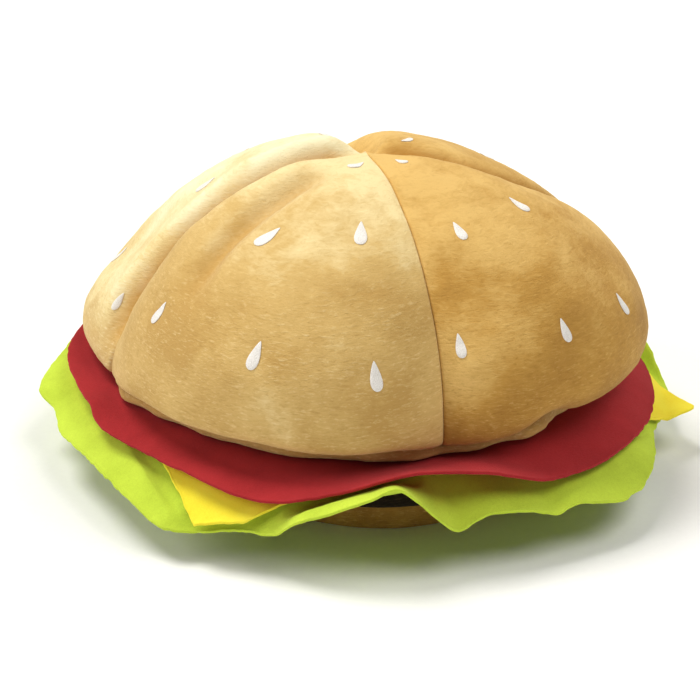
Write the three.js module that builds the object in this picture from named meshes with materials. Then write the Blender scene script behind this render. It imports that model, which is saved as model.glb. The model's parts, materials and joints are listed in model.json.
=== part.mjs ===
// A soft hamburger hat: a four-panel plush bun crown over felt tomato, cheese and lettuce,
// with a padded patty and a padded lower bun that fits round the head.
// Units are millimetres and +Z is up. The front seam of the crown faces -Y.
// The origin is the centre of the head opening, on the surface that the hat rests on.
// A "turn" is an angle in degrees round the hat, 0 at the front seam and 90 at the right seam.
import * as THREE from 'three';

// Walls and gaps
const CLEARANCE = 0.3;
const PLUSH_WALL = 3;
const FELT_THICKNESS = 1.7;
const SHEET_ROOM = 2.3; // the gap between two felt sheets where they hang free

// How the felt sheets bend past the bun's hem
const HEM_HOLD = 3;
const BEND_POWER = 1.5;
const BEYOND_EDGE = 1.25;
const DROOP_LENGTH = 40;
const CHEESE_MARGIN = 9;
const PAST_CHEESE = 8;
const PAST_TOMATO = 1;
const CURL_LENGTH = 6;
const CURL = 7;
const TOMATO_REACH = 152;

// The stack, from the head opening up; x and y are half widths of ovals
const HEAD_OPENING = { x: 80, y: 97 };
const LOWER_BUN = { x: 88, y: 103.5, bottom: 0, top: 17.5, corner: 2.5 };
const PATTY = { x: 104, y: 118, bottom: 17.9, top: 41.9, corner: 9 };
const LETTUCE_HEIGHT = 42.6;
const CHEESE_HEIGHT = 44.5;
const TOMATO_HEIGHT = 46.6;
const BASE_HEIGHT = 48.7;
const RING_BULGE = 1;
const RING_CHAMFER = 0.3; // the share of a corner that its chamfer leaves

// The bun crown: one row for each seam and each panel's middle line
const APEX_HEIGHT = 162;
const DIMPLE_RADIUS = 30;
const SEAM_SHARPNESS = 2.3;
const HEM_ROUNDNESS = 0.85;
const CROWN_LINES = [
  { turn: -180, crown: 160, reach: 140, waist: 66, fullness: 1.6, rim: 128, hem: 56 },
  { turn: -135, crown: 174, reach: 154, waist: 64, fullness: 1.5, rim: 136, hem: 56 },
  { turn: -90, crown: 166, reach: 135, waist: 58, fullness: 1.62, rim: 130, hem: 55 },
  { turn: -45, crown: 170, reach: 146, waist: 70, fullness: 2.1, rim: 125, hem: 59 },
  { turn: 0, crown: 166, reach: 127, waist: 61, fullness: 2.1, rim: 120, hem: 54 },
  { turn: 45, crown: 171, reach: 148, waist: 78, fullness: 1.8, rim: 122, hem: 57 },
  { turn: 90, crown: 163, reach: 141, waist: 70, fullness: 1.7, rim: 130, hem: 56 },
  { turn: 135, crown: 170, reach: 150, waist: 68, fullness: 1.52, rim: 132, hem: 57 },
  { turn: 180, crown: 160, reach: 140, waist: 66, fullness: 1.6, rim: 128, hem: 56 },
];

// Soft dents in the crown, pressed in along the panel's normal
const DENTS = [
  { turn: -118, along: 0.68, turnWidth: 13, alongWidth: 0.15, depth: 8 },
  { turn: -66, along: 1.65, turnWidth: 8, alongWidth: 0.5, depth: 4.5 },
  { turn: -8, along: 1.7, turnWidth: 9, alongWidth: 0.4, depth: 2 },
  { turn: 24, along: 1.6, turnWidth: 7, alongWidth: 0.5, depth: 6.5 },
];

// Long furrows that run down the crown beside a seam; a negative depth is a ridge, and the
// offsets are millimetres to the right of the seam, at the furrow's top and bottom
const FOLDS = [
  { seam: -90, top: 0.12, topOffset: 25, bottom: 0.74, bottomOffset: 70, width: 9, depth: 8 },
  { seam: -90, top: 0.1, topOffset: 9, bottom: 0.74, bottomOffset: 24, width: 11, depth: -2.5 },
  { seam: -90, top: 0.03, topOffset: -4, bottom: 0.95, bottomOffset: -5, width: 6, depth: 9 },
  { seam: -90, top: 0.03, topOffset: -18, bottom: 0.95, bottomOffset: -18, width: 8, depth: -3 },
  { seam: 90, top: 0.03, topOffset: 5, bottom: 0.9, bottomOffset: 6, width: 6, depth: 6 },
  { seam: 180, top: 0, topOffset: 0, bottom: 0.7, bottomOffset: 0, width: 11, depth: 8 },
];
const FOLD_FADE = 0.12;

// How far the back and right seams turn aside at the apex, and where they run straight
const TWISTS = [
  { turn: 180, degrees: -22, width: 40, end: 0.45 },
  { turn: 90, degrees: -29, width: 30, end: 0.75 },
];

// The rolled lip of the bun's underside: out from the crease seam, and the share of its rise
const LIP_PROFILE = [
  { out: -10, rise: 0, swells: 0 },
  { out: -3.5, rise: 0.09, swells: 0.4 },
  { out: 1.75, rise: 0.4, swells: 1 },
  { out: 2.5, rise: 0.55, swells: 1 },
  { out: 0, rise: 1, swells: 0 },
];
const LIP_SWELLS = [
  { turn: -81, width: 9, out: 5 },
  { turn: -69, width: 5, out: 2.5 },
  { turn: -7, width: 8, out: 2.5 },
  { turn: 8, width: 6, out: 3 },
  { turn: 22, width: 6, out: 6.5 },
];
const LIP_INSIDE = { out: -3, rise: 0.55 };
const LIP_TUCK = 10;

// The felt edges: one row for each wave or fold
const TOMATO_WAVES = [
  { turn: -144, reach: 152, height: 46 },
  { turn: -108, reach: 156, height: 52 },
  { turn: -85.5, reach: 151, height: 49 },
  { turn: -77, reach: 153, height: 45.5 },
  { turn: -67.5, reach: 149, height: 44 },
  { turn: -54, reach: 150, height: 44 },
  { turn: -36, reach: 155, height: 41 },
  { turn: -22.5, reach: 152, height: 47 },
  { turn: -9, reach: 150, height: 56 },
  { turn: 4.5, reach: 151, height: 53 },
  { turn: 18, reach: 154, height: 42 },
  { turn: 36, reach: 153, height: 38 },
  { turn: 58.5, reach: 152, height: 35 },
  { turn: 81, reach: 151, height: 34 },
  { turn: 121.5, reach: 151, height: 42 },
  { turn: 180, reach: 150, height: 46 },
];
const CHEESE_OUTLINE = [
  { turn: -138, reach: 156, droop: 14 },
  { turn: -88.5, reach: 134, droop: 18 },
  { turn: -48, reach: 161, droop: 24 },
  { turn: -39, reach: 156, droop: 23 },
  { turn: -28.5, reach: 142.5, droop: 16 },
  { turn: -7.5, reach: 130, droop: 4 },
  { turn: 33, reach: 131, droop: 12 },
  { turn: 69, reach: 174, droop: 14.5 },
  { turn: 100.5, reach: 143, droop: 14 },
  { turn: 141, reach: 156, droop: 14 },
  { turn: 181.5, reach: 132, droop: 8 },
];
const LETTUCE_FOLDS = [
  { turn: -162, reach: 158, height: 32 },
  { turn: -139.5, reach: 163, height: 38 },
  { turn: -117, reach: 163, height: 40 },
  { turn: -103.5, reach: 171, height: 34 },
  { turn: -99, reach: 164, height: 30 },
  { turn: -90, reach: 163, height: 28 },
  { turn: -76.5, reach: 160, height: 29 },
  { turn: -63, reach: 163, height: 26 },
  { turn: -54, reach: 165, height: 19 },
  { turn: -49.5, reach: 158, height: 17 },
  { turn: -40.5, reach: 152, height: 21 },
  { turn: -33.5, reach: 156, height: 24.5 },
  { turn: -29, reach: 160, height: 34.3 },
  { turn: -25, reach: 161, height: 39.2 },
  { turn: -21, reach: 161, height: 44 },
  { turn: -16.5, reach: 160, height: 48.5 },
  { turn: -12, reach: 159, height: 53 },
  { turn: -8, reach: 156, height: 44.5 },
  { turn: -4.5, reach: 155, height: 34.3 },
  { turn: -0.5, reach: 155.5, height: 26.2 },
  { turn: 3, reach: 154, height: 30 },
  { turn: 7, reach: 156, height: 33 },
  { turn: 13.5, reach: 158, height: 30 },
  { turn: 18, reach: 160, height: 26 },
  { turn: 22.5, reach: 162, height: 28 },
  { turn: 31.5, reach: 168, height: 23 },
  { turn: 40.5, reach: 166, height: 22 },
  { turn: 49.5, reach: 160, height: 24 },
  { turn: 58.5, reach: 154, height: 25 },
  { turn: 76.5, reach: 163, height: 19 },
  { turn: 90, reach: 162, height: 32 },
  { turn: 108, reach: 163, height: 28 },
  { turn: 130.5, reach: 156, height: 37 },
  { turn: 153, reach: 163, height: 28 },
  { turn: 180, reach: 156, height: 36 },
];

// The embroidered seeds: one row for each row of seeds on a panel, from the apex down
const SEED = { length: 14, width: 5, thickness: 0.8, lift: 0.5, sides: 10 };
const SEED_TAPER = { widen: 1.3, least: 0.02, power: 0.6 };
const SEED_TOP = { width: 0.72, length: 0.86, middle: -0.1 };
const SURFACE_STEP = 0.01;
const SEED_ROWS = [
  { panel: 'front_left', across: [0.7], along: [0.105], size: [0.8], lean: [30] },
  { panel: 'front_left', across: [0.47, 0.79], along: [0.43, 0.385], size: [1.05, 1.05], lean: [28, 0] },
  {
    panel: 'front_left',
    across: [0.25, 0.56, 0.83],
    along: [0.73, 0.77, 0.8],
    size: [0.9, 1, 1],
    lean: [22, 12, -8],
  },
  { panel: 'front_right', across: [0.3], along: [0.13], size: [0.6] },
  { panel: 'front_right', across: [0.17, 0.51], along: [0.42, 0.42], size: [0.82, 0.85] },
  {
    panel: 'front_right',
    across: [0.05, 0.31, 0.54],
    along: [0.74, 0.77, 0.8],
    size: [0.84, 0.85, 0.85],
  },
  { panel: 'back_right', across: [0.4], along: [0.19], size: [0.6] },
  { panel: 'back_right', across: [0.3, 0.62], along: [0.44, 0.42] },
  { panel: 'back_right', across: [0.2, 0.5, 0.8], along: [0.76, 0.78, 0.75] },
  { panel: 'back_left', across: [0.3], along: [0.2] },
  { panel: 'back_left', across: [0.42, 0.73], along: [0.42, 0.44] },
  {
    panel: 'back_left',
    across: [0.3, 0.62, 0.935],
    along: [0.76, 0.78, 0.765],
    size: [0.9, 0.9, 0.75],
  },
];
const SEED_SIZE = 0.9; // the share of a whole seed that one has whose row gives no size

// How finely each piece is divided
const GORE_COLUMNS = 16;
const CROWN_ROWS = 11;
const HEM_ROWS = 3;
const SHEET_COLUMNS = 80;
const SHEET_PHASE = 1.5; // puts a column on each corner of the cheese
const SHEET_STATIONS = [0, 0.36, 0.7, 1];
const RING_COLUMNS = 30;

// Colours and surfaces
const CLOTH = {
  bun: { color: 0xd9b066, roughness: 0.95, metalness: 0 },
  seed: { color: 0xf6f1e6, roughness: 0.6, metalness: 0 },
  tomato: { color: 0xa02a2c, roughness: 0.95, metalness: 0 },
  cheese: { color: 0xf5d62f, roughness: 0.95, metalness: 0 },
  lettuce: { color: 0xb9cf48, roughness: 0.95, metalness: 0 },
  patty: { color: 0x2a1d14, roughness: 0.95, metalness: 0 },
};

// Small helpers
const radians = (degrees) => (degrees * Math.PI) / 180;
const mix = (a, b, share) => a + (b - a) * share;
const bump = (value) => Math.exp(-(value ** 2));
const ease = (value) => THREE.MathUtils.smoothstep(value, 0, 1);
const turnBetween = (turn, other) => THREE.MathUtils.euclideanModulo(turn - other + 180, 360) - 180;

function polar(turn, reach, height) {
  return new THREE.Vector3(reach * Math.sin(radians(turn)), -reach * Math.cos(radians(turn)), height);
}

function ovalReach(turn, oval, offset = 0) {
  const across = Math.sin(radians(turn)) / (oval.x + offset);
  const along = Math.cos(radians(turn)) / (oval.y + offset);
  return 1 / Math.hypot(across, along);
}

// Values on the crown between two seams and the panel's middle line
function crownLine(turn) {
  const wrapped = THREE.MathUtils.euclideanModulo(turn + 180, 360);
  const panel = Math.min(Math.floor(wrapped / 90), 3);
  const across = wrapped / 90 - panel;
  const [left, middle, right] = CROWN_LINES.slice(panel * 2, panel * 2 + 3);
  const puff = 1 - Math.abs(2 * across - 1) ** SEAM_SHARPNESS;
  const value = (name) => mix(mix(left[name], right[name], across), middle[name], puff);
  return {
    crown: value('crown'),
    reach: value('reach'),
    waist: value('waist'),
    fullness: value('fullness'),
    rim: value('rim'),
    hem: value('hem'),
  };
}

// How far the dents and folds press the crown in at a point
function pressedIn(turn, along, radius) {
  let total = 0;
  for (const dent of DENTS) {
    const sideways = turnBetween(turn, dent.turn) / dent.turnWidth;
    const lengthways = (along - dent.along) / dent.alongWidth;
    total += dent.depth * bump(Math.hypot(sideways, lengthways));
  }
  for (const fold of FOLDS) {
    const share = (along - fold.top) / (fold.bottom - fold.top);
    const offset = mix(fold.topOffset, fold.bottomOffset, share);
    const away = radians(turnBetween(turn, fold.seam)) * radius - offset;
    const start = ease((along - fold.top) / FOLD_FADE);
    const end = ease((fold.bottom - along) / FOLD_FADE / 2);
    total += fold.depth * bump(away / fold.width) * start * end;
  }
  return total;
}

// A point of the crown: along is 0 at the apex, 1 at the waist and 2 at the crease seam
function crownPoint(turn, along, inset = 0) {
  const line = crownLine(turn);
  const reach = line.reach - inset;
  const crown = line.crown - inset;
  const rim = line.rim - inset;
  let radius;
  let height;
  if (along <= 1) {
    const angle = (along * Math.PI) / 2;
    const power = 2 / line.fullness;
    radius = reach * Math.sin(angle) ** power;
    height = line.waist + (crown - line.waist) * Math.max(Math.cos(angle), 0) ** power;
    const dimple = crown - (APEX_HEIGHT - inset);
    height -= dimple * Math.exp(-((radius / DIMPLE_RADIUS) ** 2));
  } else {
    const angle = ((along - 1) * Math.PI) / 2;
    radius = rim + (reach - rim) * Math.max(Math.cos(angle), 0) ** HEM_ROUNDNESS;
    height = line.waist - (line.waist - line.hem) * Math.sin(angle) ** HEM_ROUNDNESS;
  }
  const press = pressedIn(turn, along, radius);
  const slope = (along * Math.PI) / 2;
  let twist = 0;
  for (const one of TWISTS) {
    const near = bump(turnBetween(turn, one.turn) / one.width);
    twist += one.degrees * near * (1 - ease(along / one.end));
  }
  return polar(turn + twist, radius - press * Math.sin(slope), height - press * Math.cos(slope));
}

// Stations that lie closer together near both ends
function eased(count) {
  return Array.from({ length: count + 1 }, (_, i) => (1 - Math.cos((Math.PI * i) / count)) / 2);
}

function evenly(count, from, to) {
  return Array.from({ length: count + 1 }, (_, i) => mix(from, to, i / count));
}

function turnsAround(count, phase = 0) {
  return evenly(count, phase, phase + 360).slice(0, -1);
}

// The turns of a crown panel's columns, from its left seam to its right seam
function panelTurns(firstTurn) {
  return eased(GORE_COLUMNS).map((share) => firstTurn + 90 * share);
}

function bodyFrom(points, triangles) {
  const geometry = new THREE.BufferGeometry();
  const numbers = points.flatMap((point) => [point.x, point.y, point.z]);
  geometry.setAttribute('position', new THREE.Float32BufferAttribute(numbers, 3));
  geometry.setIndex(triangles.flat());
  geometry.computeVertexNormals();
  return geometry;
}

// One crown panel: an outer and an inner skin, joined along both seams and the hem
function goreGeometry(firstTurn) {
  const turns = panelTurns(firstTurn);
  const upper = evenly(CROWN_ROWS, 0, 1);
  const lower = evenly(HEM_ROWS, 1, 2);
  const stations = [...upper, ...lower.slice(1)];
  const points = [];
  const skin = (inset) => {
    points.push(polar(0, 0, APEX_HEIGHT - inset));
    const first = points.length;
    for (const along of stations.slice(1)) {
      for (const turn of turns) {
        points.push(crownPoint(turn, along, inset));
      }
    }
    return first;
  };
  const outer = skin(0);
  const inner = skin(PLUSH_WALL);
  const rows = stations.length - 1;
  const width = turns.length;
  const triangles = [];
  for (const [first, inward] of [[outer, false], [inner, true]]) {
    const add = (a, b, c) => triangles.push(inward ? [a, c, b] : [a, b, c]);
    const at = (row, column) => first + row * width + column;
    for (let column = 0; column < width - 1; column += 1) {
      add(first - 1, at(0, column), at(0, column + 1));
      for (let row = 0; row < rows - 1; row += 1) {
        add(at(row, column), at(row + 1, column), at(row + 1, column + 1));
        add(at(row, column), at(row + 1, column + 1), at(row, column + 1));
      }
    }
  }
  const border = [-1];
  for (let row = 0; row < rows; row += 1) {
    border.push(row * width);
  }
  for (let column = 1; column < width; column += 1) {
    border.push((rows - 1) * width + column);
  }
  for (let row = rows - 2; row >= 0; row -= 1) {
    border.push(row * width + width - 1);
  }
  border.forEach((here, i) => {
    const next = border[(i + 1) % border.length];
    triangles.push([outer + here, inner + here, inner + next]);
    triangles.push([outer + here, inner + next, outer + next]);
  });
  return bodyFrom(points, triangles);
}

// A closed body swept round the hat: section(turn) gives its outline as [reach, height] pairs,
// going up the outside and down the inside
function ringGeometry(turns, section) {
  const points = [];
  const triangles = [];
  const columns = turns.length;
  let size = 0;
  for (const turn of turns) {
    const outline = section(turn);
    size = outline.length;
    points.push(...outline.map(([reach, height]) => polar(turn, reach, height)));
  }
  for (let column = 0; column < columns; column += 1) {
    const next = (column + 1) % columns;
    for (let i = 0; i < size; i += 1) {
      const j = (i + 1) % size;
      const corners = [column * size + i, next * size + i, next * size + j, column * size + j];
      triangles.push([corners[0], corners[1], corners[2]]);
      triangles.push([corners[0], corners[2], corners[3]]);
    }
  }
  return bodyFrom(points, triangles);
}

// A padded ring with rounded outer corners and a flat bottom
function paddedRing(size) {
  return ringGeometry(turnsAround(RING_COLUMNS), (turn) => {
    const outer = ovalReach(turn, size);
    const inner = ovalReach(turn, HEAD_OPENING);
    const corner = size.corner;
    const chamfer = corner * RING_CHAMFER;
    const middle = (size.bottom + size.top) / 2;
    return [
      [outer - corner, size.bottom],
      [outer - chamfer, size.bottom + chamfer],
      [outer, size.bottom + corner],
      [outer + RING_BULGE, middle],
      [outer, size.top - corner],
      [outer - chamfer, size.top - chamfer],
      [outer - corner, size.top],
      [inner, size.top],
      [inner, size.bottom],
    ];
  });
}

// The underside of the bun: a flat panel that rolls up into the lip under the crease seam
function baseGeometry() {
  const turns = [-180, -90, 0, 90].flatMap((first) => panelTurns(first).slice(0, -1));
  return ringGeometry(turns, (turn) => {
    const inner = ovalReach(turn, HEAD_OPENING);
    const seam = crownPoint(turn, 2);
    const crease = Math.hypot(seam.x, seam.y);
    const top = seam.z - CLEARANCE;
    const near = (one) => one.out * bump(turnBetween(turn, one.turn) / one.width);
    const swell = LIP_SWELLS.reduce((sum, one) => sum + near(one), 0);
    const at = ({ out, rise, swells = 0 }) => [
      crease + out + swell * swells,
      mix(BASE_HEIGHT, top, rise),
    ];
    return [
      [inner, BASE_HEIGHT],
      ...LIP_PROFILE.map(at),
      [crease - PLUSH_WALL, top],
      at(LIP_INSIDE),
      [crease - LIP_TUCK, BASE_HEIGHT + PLUSH_WALL],
      [inner, BASE_HEIGHT + PLUSH_WALL],
    ];
  });
}

// Rows of a table, joined by a smooth closed curve
function smoothly(rows, turn, name) {
  const count = rows.length;
  const shifted = (row) => THREE.MathUtils.euclideanModulo(row.turn - rows[0].turn, 360);
  const place = THREE.MathUtils.euclideanModulo(turn - rows[0].turn, 360);
  let here = 0;
  while (here < count - 1 && shifted(rows[here + 1]) <= place) {
    here += 1;
  }
  const at = (i) => rows[(i + count) % count][name];
  const start = shifted(rows[here]);
  const end = here === count - 1 ? 360 : shifted(rows[here + 1]);
  const share = (place - start) / (end - start);
  const [a, b, c, d] = [at(here - 1), at(here), at(here + 1), at(here + 2)];
  const slopeIn = (c - a) / 2;
  const slopeOut = (d - b) / 2;
  const square = share * share;
  const cube = square * share;
  return (
    b * (2 * cube - 3 * square + 1) +
    slopeIn * (cube - 2 * square + share) +
    c * (3 * square - 2 * cube) +
    slopeOut * (cube - square)
  );
}

// Rows of a table, joined by straight cuts
function straightly(rows, turn) {
  const count = rows.length;
  const place = THREE.MathUtils.euclideanModulo(turn - rows[0].turn, 360);
  const shifted = (i) => THREE.MathUtils.euclideanModulo(rows[i].turn - rows[0].turn, 360);
  let here = 0;
  while (here < count - 1 && shifted(here + 1) <= place) {
    here += 1;
  }
  const from = rows[here];
  const to = rows[(here + 1) % count];
  const end = here === count - 1 ? 360 : shifted(here + 1);
  const share = (place - shifted(here)) / (end - shifted(here));
  const start = polar(from.turn, from.reach, 0);
  const cut = polar(to.turn, to.reach, 0).sub(start);
  const ray = polar(turn, 1, 0);
  const reach = (start.x * cut.y - start.y * cut.x) / (ray.x * cut.y - ray.y * cut.x);
  return { reach, droop: mix(from.droop, to.droop, share) };
}

// Where the bun's hem stops holding the felt sheets flat
const heldReach = (turn) => crownLine(turn).rim - HEM_HOLD;

// The height of a wavy sheet at a radius: flat up to the hem, then bent toward its edge
function wavyHeight(turn, radius, flat, edge) {
  const start = heldReach(turn);
  const share = THREE.MathUtils.clamp((radius - start) / (edge.reach - start), 0, BEYOND_EDGE);
  return mix(flat, edge.height, share ** BEND_POWER);
}

// The height of the square sheet at a radius: its corners reach farthest, so they droop most
function squareHeight(turn, radius, flat, edge) {
  const carried = Math.min(radius, edge.reach + CHEESE_MARGIN / 2);
  const overhang = Math.max(carried - heldReach(turn), 0);
  return flat - edge.droop * (overhang / DROOP_LENGTH) ** BEND_POWER;
}

const tomatoEdge = (turn) => ({
  reach: smoothly(TOMATO_WAVES, turn, 'reach'),
  height: smoothly(TOMATO_WAVES, turn, 'height'),
});
const cheeseEdge = (turn) => straightly(CHEESE_OUTLINE, turn);
const lettuceEdge = (turn) => ({
  reach: smoothly(LETTUCE_FOLDS, turn, 'reach'),
  height: smoothly(LETTUCE_FOLDS, turn, 'height'),
});

// The top of each sheet, kept below the sheet above it, with more room toward the edges
const tomatoTop = (turn, radius) => {
  return wavyHeight(turn, radius, TOMATO_HEIGHT + FELT_THICKNESS, tomatoEdge(turn));
};
const underneath = (above, own, turn, radius) => {
  const held = heldReach(turn);
  const spread = THREE.MathUtils.clamp((radius - held) / (TOMATO_REACH - held), 0, 1);
  const room = mix(CLEARANCE, SHEET_ROOM, spread);
  return Math.min(above - FELT_THICKNESS - room, own);
};
const cheeseTop = (turn, radius) => {
  const own = squareHeight(turn, radius, CHEESE_HEIGHT + FELT_THICKNESS, cheeseEdge(turn));
  return underneath(tomatoTop(turn, radius), own, turn, radius);
};
const lettuceTop = (turn, radius) => {
  const own = wavyHeight(turn, radius, LETTUCE_HEIGHT + FELT_THICKNESS, lettuceEdge(turn));
  const pastCheese = ease((radius - cheeseEdge(turn).reach - PAST_CHEESE) / CHEESE_MARGIN);
  const cheese = cheeseTop(turn, radius);
  const curled = ease((radius - tomatoEdge(turn).reach - PAST_TOMATO) / CURL_LENGTH);
  const bare = Math.max(tomatoTop(turn, radius), cheese) + CURL * curled;
  return underneath(mix(cheese, bare, pastCheese), own, turn, radius);
};

function sheetGeometry(edgeOf, topOf) {
  const section = (turn) => {
    const inner = ovalReach(turn, HEAD_OPENING);
    const reach = edgeOf(turn).reach;
    const bent = SHEET_STATIONS.map((share) => mix(heldReach(turn), reach, share));
    const radii = [inner, ...bent];
    const top = radii.map((radius) => [radius, topOf(turn, radius)]);
    const bottom = top.map(([radius, height]) => [radius, height - FELT_THICKNESS]);
    return [...bottom, ...top.reverse()];
  };
  return ringGeometry(turnsAround(SHEET_COLUMNS, SHEET_PHASE), section);
}

// A raised teardrop of satin stitches that follows the panel, its point toward the apex
function seedGeometry(firstTurn, place) {
  const turn = firstTurn + 90 * place.across;
  const here = crownPoint(turn, place.along);
  const toApex = crownPoint(turn, place.along - SURFACE_STEP).sub(here);
  const toSide = crownPoint(turn + SURFACE_STEP, place.along).sub(here);
  const alongScale = SURFACE_STEP / toApex.length();
  const turnScale = SURFACE_STEP / toSide.length();
  const normal = new THREE.Vector3().crossVectors(toSide, toApex).normalize();
  if (normal.dot(here) < 0) {
    normal.negate();
  }
  const outline = [];
  for (let i = 0; i < SEED.sides; i += 1) {
    const angle = (2 * Math.PI * i) / SEED.sides;
    const taper = Math.max((1 - Math.cos(angle)) / 2, SEED_TAPER.least) ** SEED_TAPER.power;
    const sideways = (SEED.width / 2) * SEED_TAPER.widen * Math.sin(angle) * taper;
    outline.push([sideways, (SEED.length / 2) * Math.cos(angle)]);
  }
  const lean = radians(place.lean);
  const on = ([sideways, upward], lift) => {
    const aside = place.size * (sideways * Math.cos(lean) + upward * Math.sin(lean));
    const up = place.size * (upward * Math.cos(lean) - sideways * Math.sin(lean));
    const point = crownPoint(turn + aside * turnScale, place.along - up * alongScale);
    return point.addScaledVector(normal, lift);
  };
  const bottom = outline.map((spot) => on(spot, SEED.lift));
  const raised = SEED.lift + SEED.thickness;
  const top = outline.map(([x, y]) => on([x * SEED_TOP.width, y * SEED_TOP.length], raised));
  const middle = [0, SEED.length * SEED_TOP.middle];
  const points = [...bottom, ...top, on(middle, SEED.lift), on(middle, raised)];
  const count = SEED.sides;
  const triangles = [];
  for (let i = 0; i < count; i += 1) {
    const j = (i + 1) % count;
    triangles.push([i, count + j, j], [i, count + i, count + j]);
    triangles.push([j, 2 * count, i]);
    triangles.push([count + i, 2 * count + 1, count + j]);
  }
  return bodyFrom(points, triangles);
}

function piece(name, geometry, cloth) {
  const mesh = new THREE.Mesh(geometry, new THREE.MeshStandardMaterial(cloth));
  mesh.name = name;
  return mesh;
}

// The four panels, and the whole hat put together
const GORES = [
  { name: 'back_left', firstTurn: -180 },
  { name: 'front_left', firstTurn: -90 },
  { name: 'front_right', firstTurn: 0 },
  { name: 'back_right', firstTurn: 90 },
];

const hat = new THREE.Group();
for (const gore of GORES) {
  // Each panel and its seeds stand off the seams by half the clearance
  const panel = new THREE.Group();
  const aside = polar(gore.firstTurn + 45, (CLEARANCE / 2) * Math.SQRT2, 0);
  panel.position.copy(aside);
  panel.add(piece(`gore_${gore.name}`, goreGeometry(gore.firstTurn), CLOTH.bun));
  const rows = SEED_ROWS.filter((row) => row.panel === gore.name);
  const places = rows.flatMap((row) =>
    row.across.map((across, i) => ({
      across,
      along: row.along[i],
      size: row.size?.[i] ?? SEED_SIZE,
      lean: row.lean?.[i] ?? 0,
    })),
  );
  places.forEach((place, i) => {
    panel.add(piece(`seed_${gore.name}_${i + 1}`, seedGeometry(gore.firstTurn, place), CLOTH.seed));
  });
  hat.add(panel);
}
hat.add(piece('bun_base', baseGeometry(), CLOTH.bun));
hat.add(piece('tomato', sheetGeometry(tomatoEdge, tomatoTop), CLOTH.tomato));
hat.add(piece('cheese', sheetGeometry(cheeseEdge, cheeseTop), CLOTH.cheese));
hat.add(piece('lettuce', sheetGeometry(lettuceEdge, lettuceTop), CLOTH.lettuce));
hat.add(piece('patty', paddedRing(PATTY), CLOTH.patty));
hat.add(piece('lower_bun', paddedRing(LOWER_BUN), CLOTH.bun));

export default hat;
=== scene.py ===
import json
import logging
import math
from dataclasses import dataclass, field
from enum import Enum
from itertools import product
from typing import NamedTuple

import bpy
import numpy as np
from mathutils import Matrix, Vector

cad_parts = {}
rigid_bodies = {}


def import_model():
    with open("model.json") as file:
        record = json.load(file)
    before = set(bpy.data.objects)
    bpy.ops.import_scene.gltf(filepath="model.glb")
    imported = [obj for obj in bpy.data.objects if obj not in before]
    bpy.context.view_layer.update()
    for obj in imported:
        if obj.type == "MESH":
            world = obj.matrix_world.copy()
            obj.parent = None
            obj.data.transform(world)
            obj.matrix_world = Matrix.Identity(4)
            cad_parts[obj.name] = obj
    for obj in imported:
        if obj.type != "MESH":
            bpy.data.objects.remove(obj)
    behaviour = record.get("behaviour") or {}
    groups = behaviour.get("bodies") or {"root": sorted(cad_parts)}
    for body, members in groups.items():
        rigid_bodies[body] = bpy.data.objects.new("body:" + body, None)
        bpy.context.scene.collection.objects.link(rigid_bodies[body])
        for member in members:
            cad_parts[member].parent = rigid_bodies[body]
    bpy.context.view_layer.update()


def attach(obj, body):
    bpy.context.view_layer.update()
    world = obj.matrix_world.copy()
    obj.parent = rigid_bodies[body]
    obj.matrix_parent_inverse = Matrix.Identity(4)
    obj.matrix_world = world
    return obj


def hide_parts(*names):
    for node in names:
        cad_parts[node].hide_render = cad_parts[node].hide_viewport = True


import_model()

Array, Socket, Tree = np.ndarray, bpy.types.NodeSocket, bpy.types.NodeTree
Material, Mesh, Object = bpy.types.Material, bpy.types.Mesh, bpy.types.Object

MM = 0.001
PANELS = 4
PANEL_TURN = 360.0 / PANELS
QUARTER = math.pi / 2
WAIST, CREASE = 1.0, 2.0
log = logging.getLogger("hat")


# Small helpers
def mix(a: Array, b: Array, share: Array) -> Array:
    """Returns the value that lies the given share of the way from a to b."""
    return a + (b - a) * share


def ease(values: Array) -> Array:
    """Returns a smooth step of values, 0 below 0 and 1 above 1."""
    held = np.clip(values, 0.0, 1.0)
    return held * held * (3.0 - 2.0 * held)


def bump(values: Array) -> Array:
    """Returns a soft bump, 1 where values are 0 and nearly 0 beyond 2."""
    return np.exp(-(values**2))


def turns_round(columns: int) -> Array:
    """Returns evenly spaced turns all round the hat."""
    return np.arange(columns) * 360.0 / columns


def turn_between(turn: Array, other: float) -> Array:
    """Returns how many degrees a turn lies past another, the shorter way round."""
    return np.mod(turn - other + 180.0, 360.0) - 180.0


def polar(turn: Array, reach: Array, height: Array) -> Array:
    """Places points round the hat.

    Args:
        turn: Degrees from the front seam.
        reach: Distance from the hat's axis.
        height: Height above the resting surface.

    Returns:
        An array of x, y and z in its last axis.
    """
    turn, reach, height = np.broadcast_arrays(turn, reach, height)
    angle = np.radians(turn)
    return np.stack([reach * np.sin(angle), -reach * np.cos(angle), height], axis=-1)


def reach_of(points: Array) -> Array:
    """Returns how far points are from the hat's axis."""
    return np.hypot(points[..., 0], points[..., 1])


def soft_noise(points: Array, cell: float, seed: int) -> Array:
    """Works out smooth noise between -1 and 1, the same on every run.

    Args:
        points: Points in millimetres.
        cell: Size of one lump of the noise in millimetres.
        seed: Which noise it is.

    Returns:
        One value for each point.
    """
    side = 32
    lattice = np.random.default_rng(seed).uniform(-1.0, 1.0, (side, side, side))
    spot = points / cell
    corner_at = np.floor(spot).astype(int)
    share = ease(spot - corner_at)
    total = np.zeros(points.shape[:-1])
    for corner in product((0, 1), repeat=3):
        weight = np.prod(np.where(corner, share, 1.0 - share), axis=-1)
        cells = (corner_at + np.array(corner)) % side
        total += weight * lattice[cells[..., 0], cells[..., 1], cells[..., 2]]
    return total


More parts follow.
